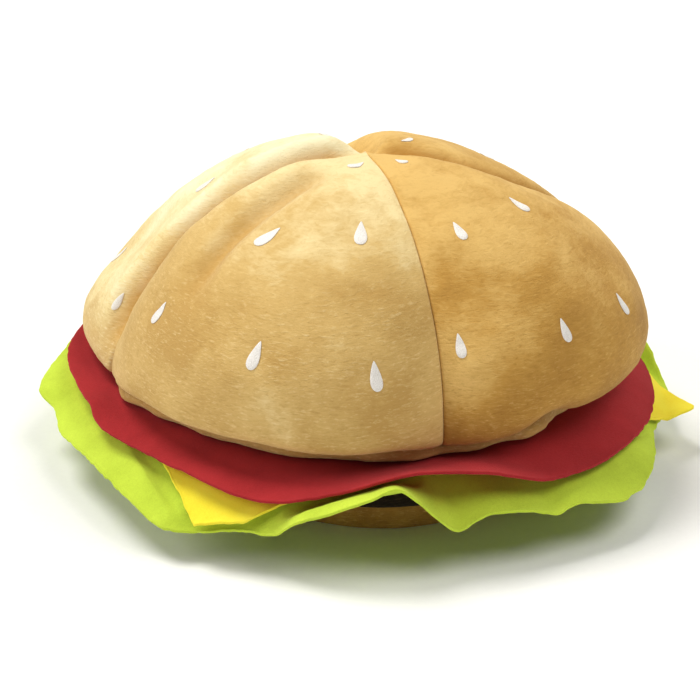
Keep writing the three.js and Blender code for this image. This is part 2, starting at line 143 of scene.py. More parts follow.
class Lumps(NamedTuple):
    """Soft lumps in cloth: their height and width in millimetres, and their own seed."""

    height: float
    width: float
    seed: int

    def on(self, points: Array) -> Array:
        """Returns how far the lumps lift points."""
        return self.height * soft_noise(points, self.width, self.seed)


def lift_of(lumps: tuple[Lumps, ...], points: Array) -> Array:
    """Returns how far several kinds of lumps lift points together."""
    return sum(kind.on(points) for kind in lumps)


def to_linear(colour: str) -> tuple[float, float, float, float]:
    """Turns an sRGB colour to linear light.

    Args:
        colour: The colour in hex, after a hash.

    Returns:
        Linear red, green, blue and alpha.
    """
    parts = [int(colour[i : i + 2], 16) / 255.0 for i in (1, 3, 5)]
    linear = [c / 12.92 if c <= 0.04045 else ((c + 0.055) / 1.055) ** 2.4 for c in parts]
    return (*linear, 1.0)


def deselect_all() -> None:
    """Deselects every object, so that an operator acts on new ones alone."""
    for obj in bpy.context.view_layer.objects:
        obj.select_set(False)


def closed_piece(name: str, points: Array, faces: list, material: Material) -> Object:
    """Makes one closed piece from points and faces.

    Args:
        name: The piece's name.
        points: Its points in millimetres, one row each.
        faces: Its faces, as lists of point numbers.
        material: What it is made of.

    Returns:
        The new object, at the origin, with smooth shading.
    """
    mesh = bpy.data.meshes.new(name)
    mesh.from_pydata((points * MM).tolist(), [], faces)
    mesh.update()
    mesh.shade_smooth()
    mesh.materials.append(material)
    obj = bpy.data.objects.new(name, mesh)
    bpy.context.collection.objects.link(obj)
    return obj


def grid_faces(rows: int, columns: int, first: int, inward: bool = False) -> list:
    """Joins an open grid of points with faces.

    Args:
        rows: Rows of points.
        columns: Points in each row.
        first: The number of its first point.
        inward: Whether the faces look the other way.

    Returns:
        Faces as lists of four point numbers.
    """
    row, column = np.meshgrid(np.arange(rows - 1), np.arange(columns - 1), indexing="ij")
    a = first + row * columns + column
    quads = np.stack([a, a + columns, a + columns + 1, a + 1], axis=-1).reshape(-1, 4)
    return (quads[:, ::-1] if inward else quads).tolist()


def ring_piece(name: str, turn: Array, section: list, material: Material) -> Object:
    """Makes a closed ring round the hat from its cross section.

    Args:
        name: The piece's name.
        turn: The turns of the cross sections.
        section: The reach and height of each point round the section, up the outside, each with
            a value for every turn.
        material: What it is made of.

    Returns:
        The new object.
    """
    points = np.stack([polar(turn, reach, height) for reach, height in section], axis=1)
    turns, size = points.shape[:2]
    here, spot = np.meshgrid(np.arange(turns), np.arange(size), indexing="ij")
    after, above = (here + 1) % turns, (spot + 1) % size
    corners = ((here, spot), (after, spot), (after, above), (here, above))
    quads = np.stack([a * size + b for a, b in corners], axis=-1).reshape(-1, 4)
    return closed_piece(name, points.reshape(-1, 3), quads.tolist(), material)


# Materials
def add_node(
    tree: Tree, kind: str, inputs: dict | None = None, out: int | str = 0, **settings: object
) -> Socket | None:
    """Adds a node with its settings, values and links.

    Args:
        tree: The material's node tree.
        kind: The node's type name, without the ShaderNode that each begins with.
        inputs: Values, or sockets to link, by input name or number. A Mix node's share is 0, its
            numbers are 2 and 3 and its colours 6 and 7. A MapRange node's value is 0, the range
            that it lies in 1 and 2, and the range that it gives 3 and 4.
        out: The name or number of the output that is wanted.
        **settings: The node's own properties. Stops are those of a colour ramp, as pairs of a
            place from 0 to 1 and an sRGB hex colour.

    Returns:
        The output, or nothing where the node has none.
    """
    node = tree.nodes.new(f"ShaderNode{kind}")
    stops = settings.pop("stops", ())
    for name, value in settings.items():
        setattr(node, name, value)
    for name, value in (inputs or {}).items():
        if isinstance(value, Socket):
            tree.links.new(value, node.inputs[name])
        else:
            node.inputs[name].default_value = value
    while stops and len(node.color_ramp.elements) < len(stops):
        node.color_ramp.elements.new(1.0)
    for number, (place, colour) in enumerate(stops):
        node.color_ramp.elements[number].position = place
        node.color_ramp.elements[number].color = to_linear(colour)
    return node.outputs[out] if node.outputs else None


def blank_material(name: str) -> tuple[Material, Tree]:
    """Makes a new material.

    Args:
        name: The material's name.

    Returns:
        The material and its empty node tree.
    """
    material = bpy.data.materials.new(name)
    material.use_nodes = True
    material.node_tree.nodes.clear()
    return material, material.node_tree


class Grain(NamedTuple):
    """A noise pattern: the real size of its lumps, its finer layers and how far it curls."""

    size_mm: float
    detail: float = 2.0
    rough: float = 0.5
    curl: float = 0.0

    def at(self, place: Socket) -> dict:
        """Returns a noise node's inputs, at coordinates in metres."""
        inputs = {"Vector": place, "Scale": 1.0 / (self.size_mm * MM), "Detail": self.detail}
        return inputs | {"Roughness": self.rough, "Distortion": self.curl}


@dataclass(frozen=True)
class Velboa:
    """Velboa plush: a polyester knit with a sheared pile of about 1.5 mm.

    The pile lies in brushed patches, so its tone drifts over a few centimetres, and painted light
    makes it paler toward the top and darker toward the hem. Short crinkles in it catch the light as
    pale streaks and dark nicks, painted highlights and shade drawn about 2 mm long so that they show
    and stronger toward the hem, where they show most in the shade. Painted shade lies in the furrows
    beside the seams, partly nap lying the other way, and painted light and shade in listed patches,
    partly brushed nap. It glows a little where it is seen along its tips.
    """

    name: str
    light: str
    middle: str
    deep: str
    streak: str
    nick: str
    # Colour of the painted shade in the furrows beside the seams, partly plush with its nap lying the
    # other way.
    furrow_shade_and_nap: str
    glow: float = 0.4
    patches: Grain = Grain(36.0, detail=4.0, rough=0.56, curl=0.3)
    crinkle: Grain = Grain(2.6, detail=4.0, rough=0.62, curl=0.9)
    streaks: Grain = Grain(1.4, rough=0.55, curl=0.6)
    pile: Grain = Grain(0.8, rough=0.6)
    brushing: tuple[float, float, float] = (0.5, 0.5, 1.9)
    crinkle_share: float = 0.25
    contrast: float = 0.8
    # Painted light: between these two heights in metres the plush goes from its darker hem tone to paler
    # by the third value, for the light on the crown's top.
    shaded_below: float = 0.07
    pale_above: float = 0.165
    paler: float = 0.26
    tones: tuple[float, float, float] = (0.42, 0.6, 0.78)
    crinkle_in_clumps: float = 0.45
    # Painted light: the crinkles' painted highlights and shade are faint above this height and strongest
    # toward the hem, where they show most in the shade; the pair below gives their share at the top and
    # at the hem.
    faint_crinkle_light_above: float = 0.14
    crinkle_light_by_height: tuple[float, float] = (0.14, 0.5)
    pale_clumps: tuple[float, float] = (0.54, 0.7)
    dark_clumps: tuple[float, float] = (0.46, 0.3)
    # How far the furrows' painted shade goes toward its colour.
    furrow_shade_and_nap_most: float = 0.9
    clump_depth: float = 0.001
    pile_depth: float = 0.0004
    glow_tint: str = "#ffeec0"

    def material(self) -> Material:
        """Mixes the plush from its patches, crinkles and pile.

        Returns:
            The plush as a material.
        """
        material, tree = blank_material(self.name)
        place = add_node(tree, "TexCoord", out="Object")
        brushed = add_node(tree, "Mapping", {"Vector": place, "Scale": self.brushing})
        patches = add_node(tree, "TexNoise", self.patches.at(place))
        crinkle = add_node(tree, "TexNoise", self.crinkle.at(brushed))
        streaks = add_node(tree, "TexNoise", self.streaks.at(brushed))
        pile = add_node(tree, "TexNoise", self.pile.at(place))
        height = add_node(tree, "SeparateXYZ", {0: place}, out="Z")
        # Painted light and shade in listed patches, partly brushed nap.
        patch_nap_and_light = add_node(tree, "Attribute", out="Fac", attribute_name="nap_and_light_patches")
        # Painted shade in the furrows beside the seams, partly nap lying the other way.
        furrow_shade_and_nap = add_node(tree, "Attribute", out="Fac", attribute_name="furrow_shade_and_nap_map")

        mottled = add_node(tree, "Mix", {0: self.crinkle_share, 2: patches, 3: crinkle})
        tone = add_node(tree, "Mix", {0: self.contrast, 2: 0.5, 3: mottled})
        tone = add_node(tree, "Math", {0: tone, 1: patch_nap_and_light})
        # Painted light: the tone rises with height, darker toward the hem and paler toward the top, where
        # the light falls.
        rise = {0: height, 1: self.shaded_below, 2: self.pale_above, 4: self.paler}
        tone = add_node(tree, "Math", {0: tone, 1: add_node(tree, "MapRange", rise)})
        stops = tuple(zip(self.tones, (self.deep, self.middle, self.light)))
        colour = add_node(tree, "ValToRGB", {0: tone}, stops=stops)

        clumps = add_node(tree, "Mix", {0: self.crinkle_in_clumps, 2: streaks, 3: crinkle})
        # Painted light: the crinkles' streaks and nicks are painted stronger toward the hem, where they
        # show most in the shade.
        low = add_node(tree, "MapRange", {0: height, 1: self.faint_crinkle_light_above, 2: self.shaded_below})
        crinkle_light_by_height = add_node(tree, "Mix", {0: low, 2: self.crinkle_light_by_height[0], 3: self.crinkle_light_by_height[1]})
        # Painted highlights and shade of the crinkles, then the painted shade of the furrows.
        for value, (start, end), most, mark in (
            (clumps, self.pale_clumps, crinkle_light_by_height, self.streak),
            (clumps, self.dark_clumps, crinkle_light_by_height, self.nick),
            (furrow_shade_and_nap, (0.0, 1.0), self.furrow_shade_and_nap_most, self.furrow_shade_and_nap),
        ):
            share = add_node(tree, "MapRange", {0: value, 1: start, 2: end, 4: most})
            mixed = {0: share, 6: colour, 7: to_linear(mark)}
            colour = add_node(tree, "Mix", mixed, out=2, data_type="RGBA")

        coarse = {"Height": clumps, "Strength": 0.5, "Distance": self.clump_depth}
        fine = {"Height": pile, "Strength": 0.5, "Distance": self.pile_depth}
        relief = add_node(tree, "Bump", fine | {"Normal": add_node(tree, "Bump", coarse)})
        cloth = {"Base Color": colour, "Roughness": 0.95, "Specular IOR Level": 0.15}
        cloth |= {"Sheen Weight": self.glow, "Sheen Roughness": 0.45}
        cloth |= {"Sheen Tint": to_linear(self.glow_tint), "Normal": relief}
        add_node(tree, "OutputMaterial", {"Surface": add_node(tree, "BsdfPrincipled", cloth)})
        return material


@dataclass(frozen=True)
class CraftFelt:
    """Craft felt: matted acrylic fibre pressed into a sheet about 1.7 mm thick.

    It is matt and nearly even in colour, with short fibres that catch the light in a fine,
    curled pattern; the slightly paler fuzz along its cut edges is not drawn.
    """

    name: str
    light: str
    middle: str
    deep: str
    glow: float = 0.05
    clouds: Grain = Grain(22.0, detail=3.0, rough=0.6)
    fibres: Grain = Grain(1.1, detail=3.0, rough=0.65, curl=1.6)
    tones: tuple[float, float, float] = (0.3, 0.5, 0.72)
    fibre_depth: float = 0.0005

    def material(self) -> Material:
        """Mixes the felt from its clouds of colour and its fibres.

        Returns:
            The felt as a material.
        """
        material, tree = blank_material(self.name)
        place = add_node(tree, "TexCoord", out="Object")
        clouds = add_node(tree, "TexNoise", self.clouds.at(place))
        fibres = add_node(tree, "TexNoise", self.fibres.at(place))
        tone = add_node(tree, "Mix", {0: 0.5, 2: clouds, 3: fibres})
        stops = tuple(zip(self.tones, (self.deep, self.middle, self.light)))
        colour = add_node(tree, "ValToRGB", {0: tone}, stops=stops)
        relief = {"Height": fibres, "Strength": 0.5, "Distance": self.fibre_depth}
        cloth = {"Base Color": colour, "Roughness": 0.98, "Specular IOR Level": 0.1}
        cloth |= {"Sheen Weight": self.glow, "Sheen Roughness": 0.6}
        cloth |= {"Normal": add_node(tree, "Bump", relief)}
        add_node(tree, "OutputMaterial", {"Surface": add_node(tree, "BsdfPrincipled", cloth)})
        return material


@dataclass(frozen=True)
class SatinThread:
    """Rayon embroidery thread in satin stitch: white, with a soft shine along the strands."""

    name: str
    face: str
    hollow: str
    strands: Grain = Grain(0.4)
    tones: tuple[float, float] = (0.3, 0.62)

    def material(self) -> Material:
        """Mixes the thread from its strands.

        Returns:
            The thread as a material.
        """
        material, tree = blank_material(self.name)
        place = add_node(tree, "TexCoord", out="Object")
        strands = add_node(tree, "TexNoise", self.strands.at(place))
        stops = tuple(zip(self.tones, (self.hollow, self.face)))
        colour = add_node(tree, "ValToRGB", {0: strands}, stops=stops)
        thread = {"Base Color": colour, "Roughness": 0.5, "Specular IOR Level": 0.4}
        thread |= {"Sheen Weight": 0.2}
        add_node(tree, "OutputMaterial", {"Surface": add_node(tree, "BsdfPrincipled", thread)})
        return material


@dataclass(frozen=True)
class MattPaper:
    """A roll of pale matt paper, faintly uneven as uncoated paper is."""

    name: str = "pale_matt_paper"
    dark: str = "#f1f1ef"
    light: str = "#f6f6f4"
    grain: Grain = Grain(3.0)

    def material(self) -> Material:
        """Mixes the paper from its grain.

        Returns:
            The paper as a material.
        """
        material, tree = blank_material(self.name)
        place = add_node(tree, "TexCoord", out="Object")
        grain = add_node(tree, "TexNoise", self.grain.at(place))
        stops = ((0.0, self.dark), (1.0, self.light))
        colour = add_node(tree, "ValToRGB", {0: grain}, stops=stops)
        paper = {"Base Color": colour, "Roughness": 0.9, "Specular IOR Level": 0.1}
        add_node(tree, "OutputMaterial", {"Surface": add_node(tree, "BsdfPrincipled", paper)})
        return material


class Cloth(Enum):
    """The hat's finishes: one for each of the record's slots, and two paler copies of the bun's plush
    that are painted light, partly the sheen of their nap.
    """

    BUN = "bun_plush"
    BUN_PALE = "bun_plush_lit_nap_up"
    BUN_PALEST = "bun_plush_most_lit_nap_back"
    PATTY = "patty_plush"
    TOMATO = "tomato_felt"
    CHEESE = "cheese_felt"
    LETTUCE = "lettuce_felt"
    SEED = "seed_thread"


# The bun's plush in three tones: painted light and shade for how the light falls on the panels, partly
# the sheen of the nap. The darkest is for the right panels and the lower bun, the paler two for the left
# panels and the underside.
FINISHES = {
    Cloth.BUN: Velboa(
        "tan_velboa_shaded_nap_down", "#dfb76d", "#bf9146", "#a57735", "#e2bf78", "#8e6428", "#a66e24",
        glow=0.22,
    ),
    Cloth.BUN_PALE: Velboa(
        "tan_velboa_lit_nap_up", "#f3dda5", "#d6b370", "#c29b58", "#f0dba6", "#b08a4a", "#b07e34",
        shaded_below=0.115,
    ),
    Cloth.BUN_PALEST: Velboa(
        "tan_velboa_most_lit_nap_back", "#f9f1ca", "#ecd69c", "#d0ac6c", "#f8eecb", "#b89556", "#c4861c"
    ),
    Cloth.PATTY: Velboa(
        "dark_brown_velboa", "#33271a", "#241a11", "#17100a", "#463525", "#0d0906", "#17100a",
        glow=0.05,
    ),
    Cloth.TOMATO: CraftFelt("red_craft_felt", "#b42e33", "#a8292d", "#982226"),
    Cloth.CHEESE: CraftFelt("yellow_craft_felt", "#fff34c", "#fdeb3c", "#f5dd30"),
    Cloth.LETTUCE: CraftFelt("lime_craft_felt", "#d3ec4c", "#c5dd43", "#b3cb39"),
    Cloth.SEED: SatinThread("white_satin_stitch", "#f8f4ee", "#d9d3cc"),
}


class Wardrobe:
    """Makes each finish once and hands it out."""

    def __init__(self) -> None:
        """Starts with no finish made."""
        self.made: dict[Cloth, Material] = {}

    def of(self, cloth: Cloth) -> Material:
        """Hands out a material, and makes it first where it is new.

        Args:
            cloth: The cloth that is wanted.

        Returns:
            Its material.
        """
        if cloth not in self.made:
            self.made[cloth] = FINISHES[cloth].material()
        return self.made[cloth]


def stand_in(piece: Object, node: str) -> None:
    """Gives a piece its place on the hat.

    Args:
        piece: The piece, which rides on the hat's only body.
        node: The node that it stands for.
    """
    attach(piece, "root")
    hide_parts(node)


# The bun crown
class CrownLine(NamedTuple):
    """Sizes of the crown along one seam or one panel's middle line."""

    turn: float
    crown: float
    reach: float
    waist: float
    fullness: float
    rim: float
    hem: float


CROWN_LINES = (
    CrownLine(-180, crown=160, reach=140, waist=66, fullness=1.6, rim=128, hem=56),
    CrownLine(-135, crown=174, reach=154, waist=64, fullness=1.5, rim=136, hem=56),
    CrownLine(-90, crown=166, reach=135, waist=58, fullness=1.62, rim=130, hem=55),
    CrownLine(-45, crown=170, reach=146, waist=70, fullness=2.1, rim=125, hem=59),
    CrownLine(0, crown=166, reach=127, waist=61, fullness=2.1, rim=120, hem=54),
    CrownLine(45, crown=171, reach=148, waist=78, fullness=1.8, rim=122, hem=57),
    CrownLine(90, crown=163, reach=141, waist=70, fullness=1.7, rim=130, hem=56),
    CrownLine(135, crown=170, reach=150, waist=68, fullness=1.52, rim=132, hem=57),
    CrownLine(180, crown=160, reach=140, waist=66, fullness=1.6, rim=128, hem=56),
)


def oval_share(place: tuple, turn: Array, along: Array) -> Array:
    """Returns how near points of the crown are to a table row's soft oval place, from 0 to 1."""
    sideways = turn_between(turn, place.turn) / place.turn_width
    return bump(np.hypot(sideways, (along - place.along) / place.along_width))


class Dent(NamedTuple):
    """A soft dent in the crown, or a swelling where its depth is negative."""

    turn: float
    along: float
    turn_width: float
    along_width: float
    depth: float


class Fold(NamedTuple):
    """A long furrow that runs down the crown beside a seam, or a ridge where its depth is negative.

    It lies the given millimetres to the right of the seam, at its top and at its bottom. The last
    column is how much painted shade the plush in it gets, partly plush with its nap the other way.
    """

    seam: float
    top: float
    top_offset: float
    bottom: float
    bottom_offset: float
    width: float
    depth: float
    furrow_shade_and_nap: float = 0.0


DENTS = (
    Dent(turn=-118, along=0.68, turn_width=13, along_width=0.15, depth=8),
    Dent(turn=-66, along=1.65, turn_width=8, along_width=0.5, depth=4.5),
    Dent(turn=-43, along=1.7, turn_width=6, along_width=0.5, depth=1.5),
    Dent(turn=-8, along=1.7, turn_width=9, along_width=0.4, depth=2),
    Dent(turn=24, along=1.6, turn_width=7, along_width=0.5, depth=6.5),
    Dent(turn=8, along=0.3, turn_width=10, along_width=0.07, depth=1.5),
    Dent(turn=9, along=0.58, turn_width=9, along_width=0.13, depth=1.5),
    Dent(turn=49, along=0.7, turn_width=8, along_width=0.1, depth=1.5),
)
# Folds whose last value is above 0 carry painted shade, partly nap lying the other way.
FOLDS = (
    Fold(-90, top=0.12, top_offset=25, bottom=0.74, bottom_offset=70, width=9, depth=8, furrow_shade_and_nap=0.55),
    Fold(-90, top=0.1, top_offset=9, bottom=0.74, bottom_offset=24, width=11, depth=-2.5),
    Fold(-90, top=0.03, top_offset=-4, bottom=0.95, bottom_offset=-5, width=6, depth=9, furrow_shade_and_nap=1.0),
    Fold(-90, top=0.03, top_offset=-18, bottom=0.95, bottom_offset=-18, width=8, depth=-3),
    Fold(90, top=0.03, top_offset=5, bottom=0.9, bottom_offset=6, width=6, depth=6, furrow_shade_and_nap=1.0),
    Fold(180, top=0.0, top_offset=0, bottom=0.7, bottom_offset=0, width=11, depth=8),
)


class Twist(NamedTuple):
    """How far a seam turns aside at the apex, and the along value where it runs straight."""

    turn: float
    degrees: float
    width: float
    end: float

    def at(self, turn: Array, along: Array) -> Array:
        """Returns how many degrees the twist turns points of the crown."""
        near = bump(turn_between(turn, self.turn) / self.width)
        return self.degrees * near * (1.0 - ease(along / self.end))


TWISTS = (
    Twist(turn=180, degrees=-22, width=40, end=0.45),
    Twist(turn=90, degrees=-29, width=30, end=0.75),
)


@dataclass
class CrownShape:
    """The crown's form with its dents, folds and twisted seams.

    The cloth's slack and the rolls of its edges into the seams are worked in by the panels.
    """

    apex: float = 162.0
    dimple_radius: float = 30.0
    seam_sharpness: float = 2.3
    hem_roundness: float = 0.85
    fold_fade: float = 0.12

    def line(self, turn: Array) -> dict[str, Array]:
        """Works out the crown's sizes at a turn.

        Args:
            turn: Degrees round the hat.

        Returns:
            The sizes of a crown line there, by name.
        """
        wrapped = np.mod(np.asarray(turn, float) + 180.0, 360.0)
        panel = np.minimum(wrapped // PANEL_TURN, PANELS - 1).astype(int)
        across = wrapped / PANEL_TURN - panel
        puff = 1.0 - np.abs(2.0 * across - 1.0) ** self.seam_sharpness
        sizes = {}
        for name in CrownLine._fields[1:]:
            column = np.array([getattr(line, name) for line in CROWN_LINES])
            seam = mix(column[panel * 2], column[panel * 2 + 2], across)
            sizes[name] = mix(seam, column[panel * 2 + 1], puff)
        return sizes

    def point(self, turn: Array, along: Array) -> Array:
        """Works out points of the crown.

        Args:
            turn: Degrees round the hat.
            along: 0 at the apex, 1 at the waist and 2 at the crease seam.

        Returns:
            Points in millimetres.
        """
        turn, along = np.broadcast_arrays(np.asarray(turn, float), np.asarray(along, float))
        line = self.line(turn)
        upper = np.clip(along, 0.0, WAIST) * QUARTER
        power = 2.0 / line["fullness"]
        radius = line["reach"] * np.sin(upper) ** power
        climb = np.maximum(np.cos(upper), 0.0) ** power
        height = line["waist"] + (line["crown"] - line["waist"]) * climb
        height = height - (line["crown"] - self.apex) * bump(radius / self.dimple_radius)
        lower = np.clip(along - WAIST, 0.0, 1.0) * QUARTER
        inward = np.maximum(np.cos(lower), 0.0) ** self.hem_roundness
        radius_low = line["rim"] + (line["reach"] - line["rim"]) * inward
        drop = np.sin(lower) ** self.hem_roundness
        height_low = line["waist"] - (line["waist"] - line["hem"]) * drop
        under = along > WAIST
        radius = np.where(under, radius_low, radius)
        height = np.where(under, height_low, height)
        press = self.press(turn, along, radius)
        slope = along * QUARTER
        turn = turn + sum(twist.at(turn, along) for twist in TWISTS)
        return polar(turn, radius - press * np.sin(slope), height - press * np.cos(slope))

    def press(self, turn: Array, along: Array, radius: Array) -> Array:
        """Returns how far the dents and folds press the crown in, in millimetres."""
        dents = sum(dent.depth * oval_share(dent, turn, along) for dent in DENTS)
        return dents + sum(fold.depth * self.within(fold, turn, along, radius) for fold in FOLDS)

    def within(self, fold: Fold, turn: Array, along: Array, radius: Array) -> Array:
        """Finds how near points are to the middle of a fold.

        Args:
            fold: The fold.
            turn: Degrees round the hat.
            along: 0 at the apex and 2 at the crease seam.
            radius: Distance from the hat's axis.

        Returns:
            1 along the fold's middle, falling to 0 beside it and at its ends.
        """
        share = (along - fold.top) / (fold.bottom - fold.top)
        offset = mix(fold.top_offset, fold.bottom_offset, share)
        away = np.radians(turn_between(turn, fold.seam)) * radius - offset
        start = ease((along - fold.top) / self.fold_fade)
        end = ease((fold.bottom - along) / self.fold_fade / 2)
        return bump(away / fold.width) * start * end

    def furrow_shade_and_nap_map(self, turn: Array, along: Array) -> Array:
        """Finds the painted shade in the folds beside the seams, partly plush whose nap lies the other
        way.

        Args:
            turn: Degrees round the hat.
            along: 0 at the apex and 2 at the crease seam.

        Returns:
            How much painted shade there is, from 0 to 1.
        """
        radius = reach_of(self.point(turn, along))
        total = np.zeros(np.shape(radius))
        for fold in FOLDS:
            own_side = turn_between(turn, fold.seam) * fold.bottom_offset > 0.0
            total += fold.furrow_shade_and_nap * own_side * self.within(fold, turn, along, radius)
        return np.minimum(total, 1.0)

    def normal(self, turn: Array, along: Array) -> Array:
        """Finds the way that the crown faces.

        Args:
            turn: Degrees round the hat.
            along: 0 at the apex and 2 at the crease seam.

        Returns:
            Outward directions, each of length 1.
        """
        step_turn, step_along, nearest_apex = 0.4, 0.004, 0.02
        along = np.maximum(along, nearest_apex)
        after = np.minimum(along + step_along, CREASE)
        sideways = self.point(turn + step_turn, along) - self.point(turn - step_turn, along)
        downward = self.point(turn, after) - self.point(turn, along - step_along)
        across = np.cross(downward, sideways)
        return across / np.linalg.norm(across, axis=-1, keepdims=True)


class SeedRow(NamedTuple):
    """One row of seeds on a panel: places across it and down it, sizes, and degrees of lean."""

    panel: str
    across: tuple[float, ...]
    along: tuple[float, ...]
    size: tuple[float, ...] = (0.9, 0.9, 0.9)
    lean: tuple[float, ...] = (0.0, 0.0, 0.0)


SEED_ROWS = (
    SeedRow("front_left", (0.7,), (0.105,), size=(0.8,), lean=(30,)),
    SeedRow("front_left", (0.47, 0.79), (0.43, 0.385), size=(1.05, 1.05), lean=(28, 0)),
    SeedRow("front_left", (0.25, 0.56, 0.83), (0.73, 0.77, 0.8), (0.9, 1, 1), lean=(22, 12, -8)),
    SeedRow("front_right", (0.3,), (0.13,), size=(0.6,)),
    SeedRow("front_right", (0.17, 0.51), (0.42, 0.42), size=(0.82, 0.85)),
    SeedRow("front_right", (0.05, 0.31, 0.54), (0.74, 0.77, 0.8), size=(0.84, 0.85, 0.85)),
    SeedRow("back_right", (0.4,), (0.19,), size=(0.6,)),
    SeedRow("back_right", (0.3, 0.62), (0.44, 0.42)),
    SeedRow("back_right", (0.2, 0.5, 0.8), (0.76, 0.78, 0.75)),
    SeedRow("back_left", (0.3,), (0.2,)),
    SeedRow("back_left", (0.42, 0.73), (0.42, 0.44)),
    SeedRow("back_left", (0.3, 0.62, 0.935), (0.76, 0.78, 0.765), size=(0.9, 0.9, 0.75)),
)


class NapAndLightPatch(NamedTuple):
    """A patch of a panel's plush that is painted paler, or darker where its tone is negative: painted
    light and shade, partly brushed nap.
    """

    panel: str
    turn: float
    along: float
    turn_width: float
    along_width: float
    tone: float


# Listed patches of painted light and shade, partly brushed nap.
NAP_AND_LIGHT_PATCHES = (
    NapAndLightPatch("front_left", -14, 0.52, turn_width=11, along_width=0.1, tone=-0.17),
    NapAndLightPatch("front_left", -55, 0.65, turn_width=11, along_width=0.1, tone=-0.13),
    NapAndLightPatch("front_left", -35, 0.9, turn_width=20, along_width=0.08, tone=0.06),
    NapAndLightPatch("front_left", -15, 0.22, turn_width=25, along_width=0.06, tone=0.06),
    NapAndLightPatch("front_right", 9, 0.59, turn_width=7, along_width=0.1, tone=-0.13),
    NapAndLightPatch("front_right", 5, 0.85, turn_width=9, along_width=0.09, tone=0.2),
    NapAndLightPatch("front_right", 54, 0.88, turn_width=8, along_width=0.08, tone=-0.15),
    NapAndLightPatch("front_right", 30, 0.1, turn_width=25, along_width=0.05, tone=0.12),
)


